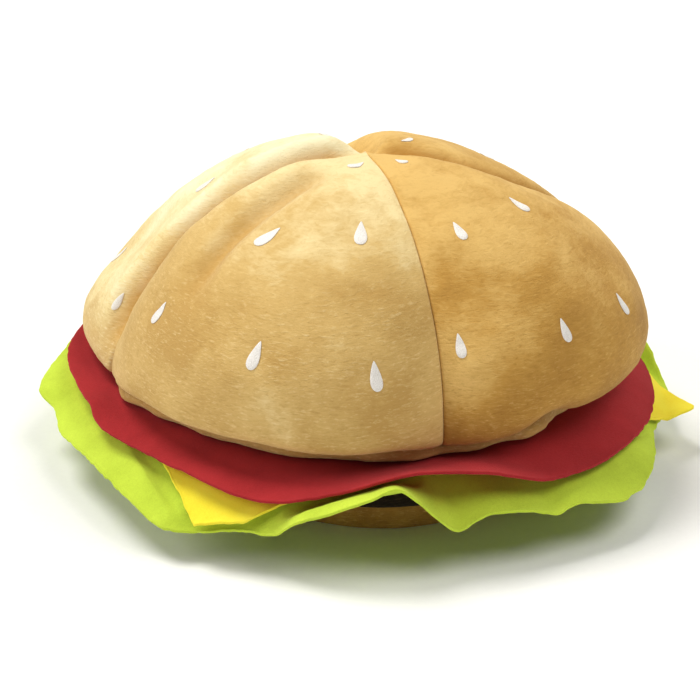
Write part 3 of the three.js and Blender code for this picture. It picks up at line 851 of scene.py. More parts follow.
@dataclass
class CrownPanel:
    """One of the four plush panels of the crown, with the allowances of its seams folded in."""

    name: str
    first_turn: float
    crown: CrownShape
    cloth: Cloth = Cloth.BUN
    first_roll: float = 2.0
    last_roll: float = 2.0
    widest_roll: float = 0.3
    rows: int = 118
    upper_rows: float = 0.75
    columns: int = 110
    roll_columns: int = 7
    wall: float = 3.0
    allowance: float = 6.5
    allowance_width: float = 2.5
    allowance_fade: float = 3.0
    tip_along: float = 0.06
    tip_width: float = 0.02
    gap: float = 0.12
    slack: tuple[Lumps, Lumps] = (Lumps(0.9, 31.0, 3), Lumps(0.5, 14.0, 4))
    crinkle: tuple[Lumps, Lumps] = (Lumps(0.16, 4.6, 5), Lumps(0.08, 2.4, 6))
    puckers: Lumps = Lumps(0.5, 6.5, 7)
    pucker_reach: float = 7.0
    gathers: Lumps = Lumps(1.1, 13.0, 8)
    gather_stretch: tuple[float, float, float] = (1.0, 1.0, 0.3)
    gather_along: float = 0.35
    seam_width: float = 4.0
    seed_press: float = 0.7
    seed_press_width: float = 5.5
    least_width: float = 1e-6
    least_roll: float = 1e-4

    @property
    def middle_turn(self) -> float:
        """The turn of the panel's middle line."""
        return self.first_turn + PANEL_TURN / 2

    def seed_places(self) -> list[tuple[float, float, float, float]]:
        """Looks up the panel's seeds in the table.

        Returns:
            The turn, along value, size and lean of each seed.
        """
        places = []
        for row in SEED_ROWS:
            if row.panel == self.name:
                for across, *rest in zip(row.across, row.along, row.size, row.lean):
                    places.append((self.first_turn + PANEL_TURN * across, *rest))
        return places

    def stations(self) -> Array:
        """Spaces the rows, closer together at the crease seam.

        Returns:
            The along value of each row.
        """
        upper = np.linspace(0.0, WAIST, int(self.rows * self.upper_rows))
        lower = np.linspace(WAIST, CREASE, self.rows - len(upper) + 1)[1:]
        return np.concatenate([upper, lower])[1:]

    def half_width(self, along: Array) -> Array:
        """Returns half the panel's width, in millimetres, by the radius of its first seam."""
        edge = self.crown.point(np.full_like(along, self.first_turn), along)
        return reach_of(edge) * math.radians(PANEL_TURN / 2)

    def turns(self, along: Array) -> Array:
        """Spaces the columns, closer together in the seams' rolls.

        Args:
            along: The along value of each row.

        Returns:
            The turns of each row's points.
        """
        half = np.maximum(self.half_width(along), self.least_width)[:, None]
        first, last = (
            np.minimum(roll, self.widest_roll * half) / half / 2.0
            for roll in (self.first_roll, self.last_roll)
        )
        bend = 1.0 - np.cos(np.linspace(0.0, QUARTER, self.roll_columns))[None, :]
        flat = np.linspace(0.0, 1.0, self.columns - 2 * self.roll_columns + 2)[None, 1:-1]
        middle = first + (1.0 - first - last) * flat
        shares = np.concatenate([first * bend, middle, 1.0 - last * bend[:, ::-1]], axis=1)
        return self.first_turn + PANEL_TURN * shares

    def seam_distance(self, turn: Array, along: Array) -> Array:
        """Returns how far points are from the nearer side seam, in millimetres."""
        inward = np.maximum(PANEL_TURN / 2 - np.abs(turn - self.middle_turn), 0.0)
        return np.radians(inward) * reach_of(self.crown.point(turn, along))

    def relief(self, turn: Array, along: Array, seam: Array) -> Array:
        """Works out how far the plush stands off the crown's form.

        Args:
            turn: Degrees round the hat.
            along: 0 at the apex and 2 at the crease seam.
            seam: Distance from the nearer side seam.

        Returns:
            Heights in millimetres.
        """
        spot = self.crown.point(turn, along)
        height = lift_of(self.slack + self.crinkle, spot)
        height = height + self.puckers.on(spot) * np.exp(-seam / self.pucker_reach)
        to_hem = np.clip(CREASE - along, 0.0, None)
        gathers = self.gathers.on(spot * self.gather_stretch)
        height = height + gathers * np.exp(-to_hem / self.gather_along)
        height = height * ease(seam / self.seam_width)
        for seed_turn, seed_along, size, _ in self.seed_places():
            away = np.linalg.norm(spot - self.crown.point(seed_turn, seed_along), axis=-1)
            height = height - self.seed_press * bump(away / size / self.seed_press_width)
        return height

    def nap_and_light_patches(self, turn: Array, along: Array) -> Array:
        """Returns how much paler the plush is painted in its listed patches, below 0 where it is darker:
        painted light and shade, partly brushed nap.
        """
        own = [patch for patch in NAP_AND_LIGHT_PATCHES if patch.panel == self.name]
        return sum(patch.tone * oval_share(patch, turn, along) for patch in own) + 0.0 * turn

    def stand_off(self, turn: Array, along: Array, height: Array) -> Array:
        """Lifts points off the crown, and moves them out by the gap between panels.

        Args:
            turn: Degrees round the hat.
            along: 0 at the apex and 2 at the crease seam.
            height: How far each point stands outside the crown's form.

        Returns:
            Points in millimetres.
        """
        aside = polar(self.middle_turn, self.gap / 2 * math.sqrt(2), 0.0)
        lift = self.crown.normal(turn, along) * height[..., None]
        return self.crown.point(turn, along) + lift + aside

    def surface(self, turn: Array, along: Array) -> Array:
        """Shapes the plush face, whose edges roll into the seams.

        Args:
            turn: Degrees round the hat.
            along: 0 at the apex and 2 at the crease seam.

        Returns:
            Points in millimetres.
        """
        seam = self.seam_distance(turn, along)
        full = np.where(turn < self.middle_turn, self.first_roll, self.last_roll)
        narrow = self.widest_roll * self.half_width(along)
        roll = np.maximum(np.minimum(full, narrow), self.least_roll)
        inside = np.clip(1.0 - seam / roll, 0.0, 1.0)
        dive = roll * (1.0 - np.sqrt(np.clip(1.0 - inside**2, 0.0, 1.0)))
        return self.stand_off(turn, along, self.relief(turn, along, seam) - dive)

    def lining(self, turn: Array, along: Array) -> Array:
        """Shapes the inner face, with the seam allowances turned in.

        Args:
            Shapes the inner face, with the seam allowances folded in.
            along: 0 at the apex and 2 at the crease seam.

        Returns:
            Points in millimetres.
        """
        seam = self.seam_distance(turn, along)
        turned_in = 1.0 - ease((seam - self.allowance_width) / self.allowance_fade)
        depth = mix(self.wall, self.allowance, turned_in * ease(along / self.tip_along))
        return self.stand_off(turn, along, -depth)

    def build(self, wardrobe: Wardrobe) -> Object:
        """Builds the panel as one closed shell.

        Args:
            wardrobe: Where its plush comes from.

        Returns:
            The panel's object.
        """
        stations = self.stations()
        turns = self.turns(stations)
        along = np.broadcast_to(stations[:, None], turns.shape)
        rows, width = turns.shape
        outer = self.surface(turns, along).reshape(-1, 3)
        inner = self.lining(turns, along).reshape(-1, 3)
        apex = self.surface(np.array([self.middle_turn]), np.array([0.0])) * [0, 0, 1]
        outer_tip = apex + outer[width // 2] * [self.tip_width, self.tip_width, 0]
        inner_tip = outer_tip - [0, 0, self.wall]
        points = np.concatenate([outer_tip, outer, inner_tip, inner])
        face_start, back_start = 1, 2 + len(outer)
        faces = grid_faces(rows, width, face_start)
        faces += grid_faces(rows, width, back_start, inward=True)
        for column in range(width - 1):
            faces.append([0, face_start + column, face_start + column + 1])
            faces.append([back_start - 1, back_start + column + 1, back_start + column])
        border = [-1]
        border += [row * width for row in range(rows)]
        border += [(rows - 1) * width + column for column in range(1, width)]
        border += [row * width + width - 1 for row in range(rows - 2, -1, -1)]
        for a, b in zip(border, border[1:] + border[:1]):
            faces.append([face_start + a, back_start + a, back_start + b, face_start + b])
        piece = closed_piece(f"panel_{self.name}", points, faces, wardrobe.of(self.cloth))
        # Stores the painted shade of the furrows and the painted light and shade of the listed patches,
        # partly nap, on the plush's points.
        shade_and_nap_maps = {"furrow_shade_and_nap_map": self.crown.furrow_shade_and_nap_map, "nap_and_light_patches": self.nap_and_light_patches}
        for name, nap in shade_and_nap_maps.items():
            values = np.zeros(len(points))
            values[face_start : face_start + len(outer)] = nap(turns, along).ravel()
            piece.data.attributes.new(name, "FLOAT", "POINT").data.foreach_set("value", values)
        stand_in(piece, f"gore_{self.name}")
        return piece


@dataclass
class SeedStitching:
    """The embroidered seeds: raised teardrops of satin stitch."""

    length: float = 14.5
    width: float = 5.4
    height: float = 1.1
    segments: int = 22
    rings: int = 72
    taper: float = -1.1
    pitch: float = 0.85
    ridge: float = 0.1
    crest: float = 0.5
    slant: float = 0.35
    sink: float = 0.25

    def model(self) -> Mesh:
        """Models one seed from a primitive, once for all of them.

        Returns:
            The mesh of the seed, flat, with its point toward +Y.
        """
        deselect_all()
        bpy.ops.mesh.primitive_uv_sphere_add(
            segments=self.segments, ring_count=self.rings, radius=0.5, rotation=(-QUARTER, 0, 0)
        )
        seed = bpy.context.active_object
        bpy.ops.object.transform_apply(location=True, rotation=True, scale=True)
        bpy.ops.object.mode_set(mode="EDIT")
        bpy.ops.mesh.select_all(action="SELECT")
        bpy.ops.transform.resize(value=(self.width, self.length, self.height))
        bpy.ops.object.mode_set(mode="OBJECT")
        taper = seed.modifiers.new("taper", "SIMPLE_DEFORM")
        taper.deform_method = "TAPER"
        taper.deform_axis = "Y"
        taper.factor = self.taper
        bpy.ops.object.modifier_apply(modifier=taper.name)
        mesh = seed.data
        for vertex in mesh.vertices:
            x, y, z = vertex.co
            strand = math.cos(2 * math.pi * (y + self.slant * x) / self.pitch)
            crest = self.ridge * strand * (z > 0) * self.crest
            vertex.co.z = z * (1.0 + self.ridge * strand) + crest
        bpy.data.objects.remove(seed)
        return mesh

    def lay(self, flat: Array, panel: CrownPanel, place: tuple[float, ...]) -> Array:
        """Lays a flat seed on a panel.

        Args:
            flat: The seed's points, with its point toward +Y.
            panel: The panel that carries it.
            place: The seed's turn, along value, size and lean.

        Returns:
            The seed's points on the hat, in millimetres.
        """
        turn, along, size, lean = place
        step = 0.01
        here = panel.crown.point(turn, along)
        per_turn = np.linalg.norm(panel.crown.point(turn + step, along) - here) / step
        per_along = np.linalg.norm(panel.crown.point(turn, along - step) - here) / step
        sine, cosine = math.sin(math.radians(lean)), math.cos(math.radians(lean))
        turns = turn + size * (flat[:, 0] * cosine + flat[:, 1] * sine) / per_turn
        alongs = along - size * (flat[:, 1] * cosine - flat[:, 0] * sine) / per_along
        lift = panel.crown.normal(turns, alongs) * (flat[:, 2:] + self.sink)
        return panel.surface(turns, alongs) + lift

    def build(self, panel: CrownPanel, wardrobe: Wardrobe) -> list[Object]:
        """Stitches the seeds of one panel onto it.

        Args:
            panel: The panel that carries them.
            wardrobe: Where the thread comes from.

        Returns:
            The seeds' objects.
        """
        model = self.model()
        flat = np.array([vertex.co for vertex in model.vertices])
        seeds = []
        for number, place in enumerate(panel.seed_places(), start=1):
            mesh = model.copy()
            mesh.vertices.foreach_set("co", (self.lay(flat, panel, place) * MM).ravel())
            mesh.update()
            mesh.shade_smooth()
            mesh.materials.append(wardrobe.of(Cloth.SEED))
            seed = bpy.data.objects.new(f"stitched_seed_{panel.name}_{number}", mesh)
            bpy.context.collection.objects.link(seed)
            stand_in(seed, f"seed_{panel.name}_{number}")
            seeds.append(seed)
        return seeds


# The stack under the crown
@dataclass
class Oval:
    """An oval round the hat's axis, by its half widths."""

    x: float
    y: float

    def reach(self, turn: Array) -> Array:
        """Returns the oval's radius at a turn."""
        angle = np.radians(turn)
        return 1.0 / np.hypot(np.sin(angle) / self.x, np.cos(angle) / self.y)


HEAD_OPENING = Oval(80.0, 97.0)


class LipSwell(NamedTuple):
    """A place where the rolled lip of the bun's underside shows more."""

    turn: float
    width: float
    out: float
    down: float


LIP_SWELLS = (
    LipSwell(turn=-81, width=9, out=6.0, down=0.5),
    LipSwell(turn=-69, width=5, out=3.0, down=0.5),
    LipSwell(turn=-7, width=8, out=2.5, down=1.0),
    LipSwell(turn=8, width=6, out=3.5, down=0.5),
    LipSwell(turn=22, width=6, out=7.5, down=0.0),
)


@dataclass
class BunBase:
    """The bun's underside: a plush panel that rolls up into a lip at the crease seam."""

    crown: CrownShape
    bottom: float = 48.9
    wall: float = 3.0
    tuck: float = 12.0
    gap: float = 0.35
    columns: int = 420
    under_steps: int = 8
    inside_steps: int = 5
    fold_in: tuple[float, ...] = (0.0, 0.35, 0.7, 1.0)
    lip_steps: int = 19
    lip_out: float = 1.8
    lip_lumps: tuple[Lumps, Lumps] = (Lumps(1.3, 17.0, 21), Lumps(0.8, 7.0, 22))
    lip_place: tuple[float, float] = (125.0, 50.0)
    lip_roundness: float = 0.8
    lip_start: float = 0.55
    lip_seam: float = 0.6
    sag_share: float = 0.6

    def lip(self, turn: Array) -> tuple[Array, Array]:
        """Adds up the lip's lumps and swellings.

        Args:
            turn: Degrees round the hat.

        Returns:
            How far the lip swells outward, and how far downward.
        """
        spot = polar(turn, *self.lip_place)
        out = self.lip_out + lift_of(self.lip_lumps, spot)
        down = np.zeros_like(out)
        for swell in LIP_SWELLS:
            near = bump(turn_between(turn, swell.turn) / swell.width)
            out = out + swell.out * near
            down = down + swell.down * near
        return out, down

    def build(self, wardrobe: Wardrobe) -> Object:
        """Builds the underside as one closed ring.

        Args:
            wardrobe: Where its plush comes from.

        Returns:
            The underside's object.
        """
        turn = turns_round(self.columns)
        inner = HEAD_OPENING.reach(turn)
        seam = self.crown.point(turn, CREASE)
        rim, top = reach_of(seam), seam[:, 2] - self.gap
        floor, tucked = np.full_like(rim, self.bottom), rim - self.tuck
        ceiling = floor + self.wall
        out, down = self.lip(turn)
        section = []
        for share in np.linspace(0.0, 1.0, self.under_steps, endpoint=False):
            section.append((mix(inner, tucked, share), floor))
        for angle in np.linspace(-QUARTER, QUARTER, self.lip_steps):
            round_out = math.cos(angle) ** self.lip_roundness
            upward = (1.0 + math.sin(angle)) / 2.0
            start = mix(rim - self.tuck * self.lip_start, rim - self.lip_seam, ease(upward))
            height = mix(floor, top, upward) - down * round_out * self.sag_share
            section.append((mix(start, rim + out, round_out), height))
        for share in self.fold_in:
            reach = mix(rim - self.wall, tucked, share)
            section.append((reach, mix(top, ceiling, ease(share))))
        for share in np.linspace(0.0, 1.0, self.inside_steps + 1)[1:]:
            section.append((mix(tucked, inner, share), ceiling))
        piece = ring_piece("bun_underside", turn, section, wardrobe.of(Cloth.BUN_PALE))
        stand_in(piece, "bun_base")
        return piece


class Wave(NamedTuple):
    """One wave or fold of a felt edge."""

    turn: float
    reach: float
    height: float


class Cut(NamedTuple):
    """One corner or bend of the square sheet's straight-cut outline."""

    turn: float
    reach: float
    droop: float


TOMATO_WAVES = (
    Wave(-144, 152, 46), Wave(-108, 156, 52), Wave(-85.5, 151, 49), Wave(-77, 153, 45.5),
    Wave(-67.5, 149, 44), Wave(-54, 150, 44), Wave(-36, 155, 41), Wave(-22.5, 152, 47),
    Wave(-9, 150, 56), Wave(4.5, 151, 53), Wave(18, 154, 42), Wave(36, 153, 38),
    Wave(58.5, 152, 35), Wave(81, 151, 34), Wave(121.5, 151, 42), Wave(180, 150, 46),
)
CHEESE_OUTLINE = (
    Cut(-138, 156, 14), Cut(-88.5, 134, 18), Cut(-48, 161, 24), Cut(-39, 156, 23),
    Cut(-28.5, 142.5, 16), Cut(-7.5, 130, 4), Cut(33, 131, 12), Cut(69, 174, 14.5),
    Cut(100.5, 143, 14), Cut(141, 156, 14), Cut(181.5, 132, 8),
)
LETTUCE_FOLDS = (
    Wave(-162, 158, 32), Wave(-139.5, 163, 38), Wave(-117, 163, 40), Wave(-103.5, 171, 34),
    Wave(-99, 164, 30), Wave(-90, 163, 28), Wave(-76.5, 160, 29), Wave(-63, 163, 26),
    Wave(-54, 165, 19), Wave(-49.5, 158, 17), Wave(-40.5, 152, 21), Wave(-33.5, 156, 24.5),
    Wave(-29, 160, 34.3), Wave(-25, 161, 39.2), Wave(-21, 161, 44), Wave(-16.5, 160, 48.5),
    Wave(-12, 159, 53), Wave(-8, 156, 44.5), Wave(-4.5, 155, 34.3), Wave(-0.5, 155.5, 26.2),
    Wave(3, 154, 30), Wave(7, 156, 33), Wave(13.5, 158, 30), Wave(18, 160, 26), Wave(22.5, 162, 28),
    Wave(31.5, 168, 23), Wave(40.5, 166, 22), Wave(49.5, 160, 24), Wave(58.5, 154, 25),
    Wave(76.5, 163, 19), Wave(90, 162, 32), Wave(108, 163, 28), Wave(130.5, 156, 37),
    Wave(153, 163, 28), Wave(180, 156, 36),
)


def span(rows: tuple, turn: Array) -> tuple[Array, Array, Array]:
    """Finds the table rows on either side of a turn.

    Args:
        rows: Rows with a turn each, in order.
        turn: Degrees round the hat.

    Returns:
        The row before, the share of the way to the next, and the next row's number.
    """
    first = rows[0].turn
    starts = np.array([(row.turn - first) % 360.0 for row in rows] + [360.0])
    place = np.mod(turn - first, 360.0)
    here = np.clip(np.searchsorted(starts, place, side="right") - 1, 0, len(rows) - 1)
    share = (place - starts[here]) / (starts[here + 1] - starts[here])
    return here, share, (here + 1) % len(rows)


def smoothly(rows: tuple, turn: Array, name: str) -> Array:
    """Reads a table's column, on a smooth closed curve through its rows.

    Args:
        rows: Rows with a turn each, in order.
        turn: Degrees round the hat.
        name: The column.

    Returns:
        The column's value at each turn.
    """
    values = np.array([getattr(row, name) for row in rows], float)
    here, share, after = span(rows, turn)
    a, b = values[here - 1], values[here]
    c, d = values[after], values[(after + 1) % len(rows)]
    square, cube = share**2, share**3
    return (
        b * (2 * cube - 3 * square + 1)
        + (c - a) / 2 * (cube - 2 * square + share)
        + c * (3 * square - 2 * cube)
        + (d - b) / 2 * (cube - square)
    )


def straightly(rows: tuple, turn: Array) -> tuple[Array, Array]:
    """Reads an outline whose rows are joined by straight cuts.

    Args:
        rows: Rows with a turn, a reach and a droop each, in order.
        turn: Degrees round the hat.

    Returns:
        The outline's reach and its droop at each turn.
    """
    here, share, after = span(rows, turn)
    turns, reaches, droops = np.array(rows, float).T
    start = polar(turns[here], reaches[here], 0.0)
    cut = polar(turns[after], reaches[after], 0.0) - start
    ray = polar(turn, 1.0, 0.0)
    reach = (start[..., 0] * cut[..., 1] - start[..., 1] * cut[..., 0]) / (
        ray[..., 0] * cut[..., 1] - ray[..., 1] * cut[..., 0]
    )
    return reach, mix(droops[here], droops[after], share)


@dataclass
class FeltStack:
    """How the three felt sheets lie: held flat under the bun's hem, then bent out to their edges."""

    crown: CrownShape
    thickness: float = 1.7
    clearance: float = 0.3
    room: float = 2.3
    hem_hold: float = 3.0
    bend_power: float = 1.5
    beyond_edge: float = 1.25
    droop_length: float = 40.0
    cheese_margin: float = 9.0
    past_cheese: float = 8.0
    past_tomato: float = 1.0
    curl_length: float = 6.0
    curl: float = 7.0
    tomato_reach: float = 152.0
    tomato_flat: float = 48.3
    cheese_flat: float = 46.2
    lettuce_flat: float = 44.3

    def held(self, turn: Array) -> Array:
        """Returns where the bun's hem stops holding the sheets flat."""
        return self.crown.line(turn)["rim"] - self.hem_hold

    def wavy(self, turn: Array, radius: Array, flat: float, rows: tuple) -> Array:
        """Bends a wavy sheet from its flat part to its edge.

        Args:
            turn: Degrees round the hat.
            radius: Distance from the hat's axis.
            flat: The height of its flat part, under the hem.
            rows: The waves of its edge.

        Returns:
            Heights in millimetres.
        """
        start = self.held(turn)
        edge_reach = smoothly(rows, turn, "reach")
        edge_height = smoothly(rows, turn, "height")
        share = np.clip((radius - start) / (edge_reach - start), 0.0, self.beyond_edge)
        return mix(flat, edge_height, share**self.bend_power)

    def below(self, above: Array, own: Array, turn: Array, radius: Array) -> Array:
        """Keeps a sheet under the one above it.

        Args:
            above: The height of the sheet above.
            own: The height that the sheet has by itself.
            turn: Degrees round the hat.
            radius: Distance from the hat's axis.

        Returns:
            Heights in millimetres.
        """
        held = self.held(turn)
        spread = np.clip((radius - held) / (self.tomato_reach - held), 0.0, 1.0)
        room = mix(self.clearance, self.room, spread)
        return np.minimum(above - self.thickness - room, own)

    def tomato(self, turn: Array, radius: Array) -> Array:
        """Returns the height of the tomato's top face."""
        return self.wavy(turn, radius, self.tomato_flat, TOMATO_WAVES)

    def cheese(self, turn: Array, radius: Array) -> Array:
        """Bends the cheese down from the hem to its straight edges.

        Args:
            turn: Degrees round the hat.
            radius: Distance from the hat's axis.

        Returns:
            The height of its top face.
        """
        reach, droop = straightly(CHEESE_OUTLINE, turn)
        carried = np.minimum(radius, reach + self.cheese_margin / 2)
        overhang = np.maximum(carried - self.held(turn), 0.0)
        own = self.cheese_flat - droop * (overhang / self.droop_length) ** self.bend_power
        return self.below(self.tomato(turn, radius), own, turn, radius)

    def lettuce(self, turn: Array, radius: Array) -> Array:
        """Bends the lettuce in folds, and lets it curl up where it reaches past the sheets above.

        Args:
            turn: Degrees round the hat.
            radius: Distance from the hat's axis.

        Returns:
            The height of its top face.
        """
        own = self.wavy(turn, radius, self.lettuce_flat, LETTUCE_FOLDS)
        reach, _ = straightly(CHEESE_OUTLINE, turn)
        past_cheese = ease((radius - reach - self.past_cheese) / self.cheese_margin)
        tomato_reach = smoothly(TOMATO_WAVES, turn, "reach")
        curled = self.curl * ease((radius - tomato_reach - self.past_tomato) / self.curl_length)
        cheese = self.cheese(turn, radius)
        bare = np.maximum(self.tomato(turn, radius), cheese) + curled
        return self.below(mix(cheese, bare, past_cheese), own, turn, radius)


@dataclass
class FeltSheet:
    """One felt sheet with an oval hole, cut out with scissors. Its flat side is in metres."""

    name: str
    node: str
    cloth: Cloth
    stack: FeltStack
    flat_side: float
    flat_area: float
    rests_on: str
    nibble: float = 0.3
    nibbles: tuple[Lumps, Lumps] = (Lumps(1.0, 2.6, 41), Lumps(1.0, 6.0, 42))
    ripple: Lumps = Lumps(0.5, 16.0, 31)
    ripple_reach: float = 25.0
    columns: int = 540
    flat_rows: int = 6
    rows: int = 34
    edge_steps: tuple[float, ...] = (-60.0, -30.0, 0.0, 30.0, 60.0)
    edge_out: float = 0.6
    edge_up: float = 1.1

    def edge(self, turn: Array) -> Array:
        """Looks up the sheet's outline.

        Args:
            turn: Degrees round the hat.

        Returns:
            How far the sheet reaches from the hat's axis.
        """
        if self.cloth is Cloth.CHEESE:
            return straightly(CHEESE_OUTLINE, turn)[0]
        rows = TOMATO_WAVES if self.cloth is Cloth.TOMATO else LETTUCE_FOLDS
        return smoothly(rows, turn, "reach")

    def top(self, turn: Array, radius: Array) -> Array:
        """Shapes the sheet's top face, with its small ripples.

        Args:
            turn: Degrees round the hat.
            radius: Distance from the hat's axis.

        Returns:
            Heights in millimetres.
        """
        forms = {Cloth.TOMATO: self.stack.tomato, Cloth.CHEESE: self.stack.cheese}
        height = forms.get(self.cloth, self.stack.lettuce)(turn, radius)
        spread = ease((radius - self.stack.held(turn)) / self.ripple_reach)
        return height + spread * self.ripple.on(polar(turn, radius, 0.0))

    def build(self, wardrobe: Wardrobe) -> Object:
        """Builds the sheet as one closed ring.

        Args:
            wardrobe: Where its felt comes from.

        Returns:
            The sheet's object.
        """
        turn = turns_round(self.columns)[:, None]
        inner, held = HEAD_OPENING.reach(turn), self.stack.held(turn)
        rim = polar(turn, self.edge(turn), 0.0)
        edge = self.edge(turn) + self.nibble * lift_of(self.nibbles, rim)
        flat_part = mix(inner, held, np.linspace(0.0, 1.0, self.flat_rows + 1)[None, :-1])
        bent_part = mix(held, edge, np.linspace(0.0, 1.0, self.rows)[None, :])
        radius = np.concatenate([flat_part, bent_part], axis=1)
        height = self.top(turn, radius)
        half = self.stack.thickness / 2
        section = [(r, h - 2 * half) for r, h in zip(radius.T, height.T)]
        for angle in np.radians(self.edge_steps):
            out, up = self.edge_out * math.cos(angle), self.edge_up * math.sin(angle)
            section.append((radius[:, -1] + half * out, height[:, -1] + half * (up - 1.0)))
        section += list(zip(radius.T, height.T))[::-1]
        piece = ring_piece(self.name, turn[:, 0], section, wardrobe.of(self.cloth))
        stand_in(piece, self.node)
        return piece


@dataclass
class PaddedRing:
    """A stuffed plush ring round the head opening."""

    name: str
    node: str
    cloth: Cloth
    outer: Oval
    bottom: float
    top: float
    squareness: float = 3.2
    lumps: tuple[Lumps, Lumps] = (Lumps(0.8, 15.0, 51), Lumps(0.4, 6.0, 52))
    columns: int = 200
    steps: int = 36

    def build(self, wardrobe: Wardrobe) -> Object:
        """Builds the ring.

        Args:
            wardrobe: Where its plush comes from.

        Returns:
            The ring's object.
        """
        turn = turns_round(self.columns)
        inner, outer = HEAD_OPENING.reach(turn), self.outer.reach(turn)
        middle, half_width = (inner + outer) / 2, (outer - inner) / 2
        centre, half_height = (self.top + self.bottom) / 2, (self.top - self.bottom) / 2
        section = []
        for angle in np.linspace(-math.pi, math.pi, self.steps, endpoint=False):
            out, up = (
                math.copysign(abs(way) ** (2 / self.squareness), way)
                for way in (math.cos(angle), math.sin(angle))
            )
            height = np.full_like(turn, centre + half_height * up)
            lift = lift_of(self.lumps, polar(turn, middle + half_width * out, height))
            section.append((middle + (half_width + lift * abs(out)) * out, height))
        piece = ring_piece(self.name, turn, section, wardrobe.of(self.cloth))
        stand_in(piece, self.node)
        return piece


# The studio
class Lamp(NamedTuple):
    """One soft lamp: where it stands, how strong it is and how wide it looks, in degrees."""

    name: str
    azimuth: float
    elevation: float
    strength: float
    angle: float


@dataclass
class Studio:
    """Plain pale floor, soft light and the camera."""

    azimuth: float = -17.0
    elevation: float = 25.0
    distance: float = 1.3
    target: tuple[float, float, float] = (-0.00765, 0.00234, 0.051)
    lens: float = 127.03
    lamps: tuple[Lamp, ...] = (
        Lamp("key_light", azimuth=-135.0, elevation=64.0, strength=2.15, angle=26.0),
        Lamp("left_light", azimuth=-95.0, elevation=33.0, strength=1.2, angle=34.0),
        Lamp("front_right_light", azimuth=55.0, elevation=60.0, strength=1.35, angle=36.0),
        Lamp("back_right_light", azimuth=135.0, elevation=24.0, strength=0.9, angle=40.0),
        Lamp("front_light", azimuth=0.0, elevation=14.0, strength=0.25, angle=50.0),
    )
    sky_strength: float = 0.04
    sky_colour: tuple[float, float, float, float] = (1.0, 0.99, 0.97, 1.0)
    lamp_colour: tuple[float, float, float] = (1.0, 0.985, 0.95)
    floor_size: float = 30.0
    sight: float = 60.0

    @staticmethod
    def direction(azimuth: float, elevation: float) -> Vector:
        """Finds the way from the hat toward a place round it.

        Args:
            azimuth: Degrees from the front seam.
            elevation: Degrees above the floor.

        Returns:
            A direction of length 1.
        """
        a, e = math.radians(azimuth), math.radians(elevation)
        return Vector((math.sin(a) * math.cos(e), -math.cos(a) * math.cos(e), math.sin(e)))

    def floor(self) -> None:
        """Lays the floor."""
        deselect_all()
        bpy.ops.mesh.primitive_plane_add(size=self.floor_size, location=(0.0, 0.0, 0.0))
        floor = bpy.context.active_object
        floor.name = "studio_floor"
        floor.data.materials.append(MattPaper().material())

    def lights(self) -> None:
        """Sets the sky and the lamps."""
        world = bpy.data.worlds.new("studio_sky")
        world.use_nodes = True
        sky = world.node_tree.nodes["Background"]
        sky.inputs["Color"].default_value = self.sky_colour
        sky.inputs["Strength"].default_value = self.sky_strength
        bpy.context.scene.world = world
        for lamp in self.lamps:
            sun = bpy.data.lights.new(lamp.name, "SUN")
            sun.energy = lamp.strength
            sun.angle = math.radians(lamp.angle)
            sun.color = self.lamp_colour
            holder = bpy.data.objects.new(lamp.name, sun)
            toward = self.direction(lamp.azimuth, lamp.elevation)
            holder.rotation_mode = "QUATERNION"
            holder.rotation_quaternion = toward.to_track_quat("Z", "Y")
            bpy.context.collection.objects.link(holder)

    def camera(self) -> None:
        """Sets the camera at the photograph's angle."""
        data = bpy.data.cameras.new("camera")
        data.lens = self.lens
        data.clip_end = self.sight
        camera = bpy.data.objects.new("camera", data)
        back = self.direction(self.azimuth, self.elevation)
        camera.location = Vector(self.target) + back * self.distance
        camera.rotation_mode = "QUATERNION"
        camera.rotation_quaternion = (-back).to_track_quat("-Z", "Y")
        bpy.context.collection.objects.link(camera)
        bpy.context.scene.camera = camera

    def build(self) -> None:
        """Builds the whole studio."""
        self.camera()
        self.floor()
        self.lights()
        bpy.context.scene.view_settings.view_transform = "Standard"


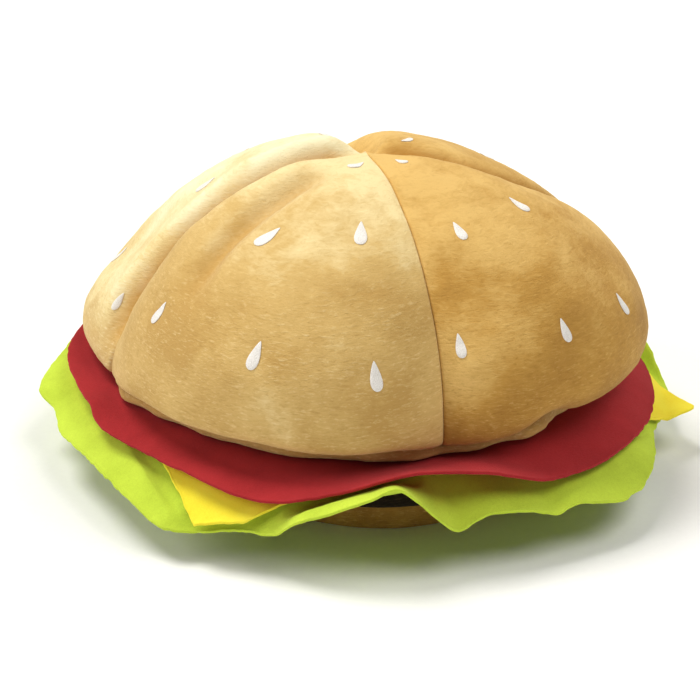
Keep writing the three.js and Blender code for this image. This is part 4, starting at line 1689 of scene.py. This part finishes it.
@dataclass
class HamburgerHat:
    """The whole hat, from the crown down."""

    wardrobe: Wardrobe = field(default_factory=Wardrobe)
    crown: CrownShape = field(default_factory=CrownShape)

    def panels(self) -> list[CrownPanel]:
        """Cuts the crown into its four panels.

        Returns:
            The panels, round the hat from the back left.
        """
        return [
            # The left panels get the paler copies of the plush, painted for the light that falls on them.
            CrownPanel("back_left", -180.0, self.crown, Cloth.BUN_PALEST, first_roll=2.2, last_roll=3.2),
            CrownPanel("front_left", -90.0, self.crown, Cloth.BUN_PALE, first_roll=2.4, last_roll=1.1),
            CrownPanel("front_right", 0.0, self.crown, Cloth.BUN, first_roll=1.1, last_roll=2.0),
            CrownPanel("back_right", 90.0, self.crown, Cloth.BUN, first_roll=2.4, last_roll=2.2),
        ]

    def sheets(self) -> list[FeltSheet]:
        """Cuts the three felt sheets.

        Returns:
            The sheets, from the top down.
        """
        stack = FeltStack(self.crown)
        return [
            FeltSheet(
                "tomato_slice", "tomato", Cloth.TOMATO, stack,
                flat_side=0.306, flat_area=0.0489, rests_on="cheese_slice",
            ),
            FeltSheet(
                "cheese_slice", "cheese", Cloth.CHEESE, stack,
                flat_side=0.256, flat_area=0.0412, rests_on="lettuce_leaf",
            ),
            FeltSheet(
                "lettuce_leaf", "lettuce", Cloth.LETTUCE, stack,
                flat_side=0.335, flat_area=0.058, rests_on="patty_ring", nibble=0.35,
            ),
        ]

    def rings(self) -> list[PaddedRing]:
        """Sews the two padded rings.

        Returns:
            The patty and the lower bun.
        """
        return [
            PaddedRing("patty_ring", "patty", Cloth.PATTY, Oval(105.0, 119.0), bottom=17.9, top=41.9),
            PaddedRing("lower_bun_ring", "lower_bun", Cloth.BUN, Oval(89.0, 104.5), bottom=0.0, top=17.5),
        ]

    def build(self) -> None:
        """Builds every piece and reports it."""
        stitching = SeedStitching()
        for panel in self.panels():
            piece = panel.build(self.wardrobe)
            log.info("%s: %d faces", piece.name, len(piece.data.polygons))
            seeds = stitching.build(panel, self.wardrobe)
            log.info("%d seeds on %s", len(seeds), piece.name)
        for maker in [BunBase(self.crown), *self.rings(), *self.sheets()]:
            piece = maker.build(self.wardrobe)
            log.info("%s: %d faces", piece.name, len(piece.data.polygons))


def main() -> None:
    """Builds the studio and the hat."""
    logging.basicConfig(level=logging.INFO, format="%(message)s")
    Studio().build()
    HamburgerHat().build()


if __name__ == "__main__":
    main()
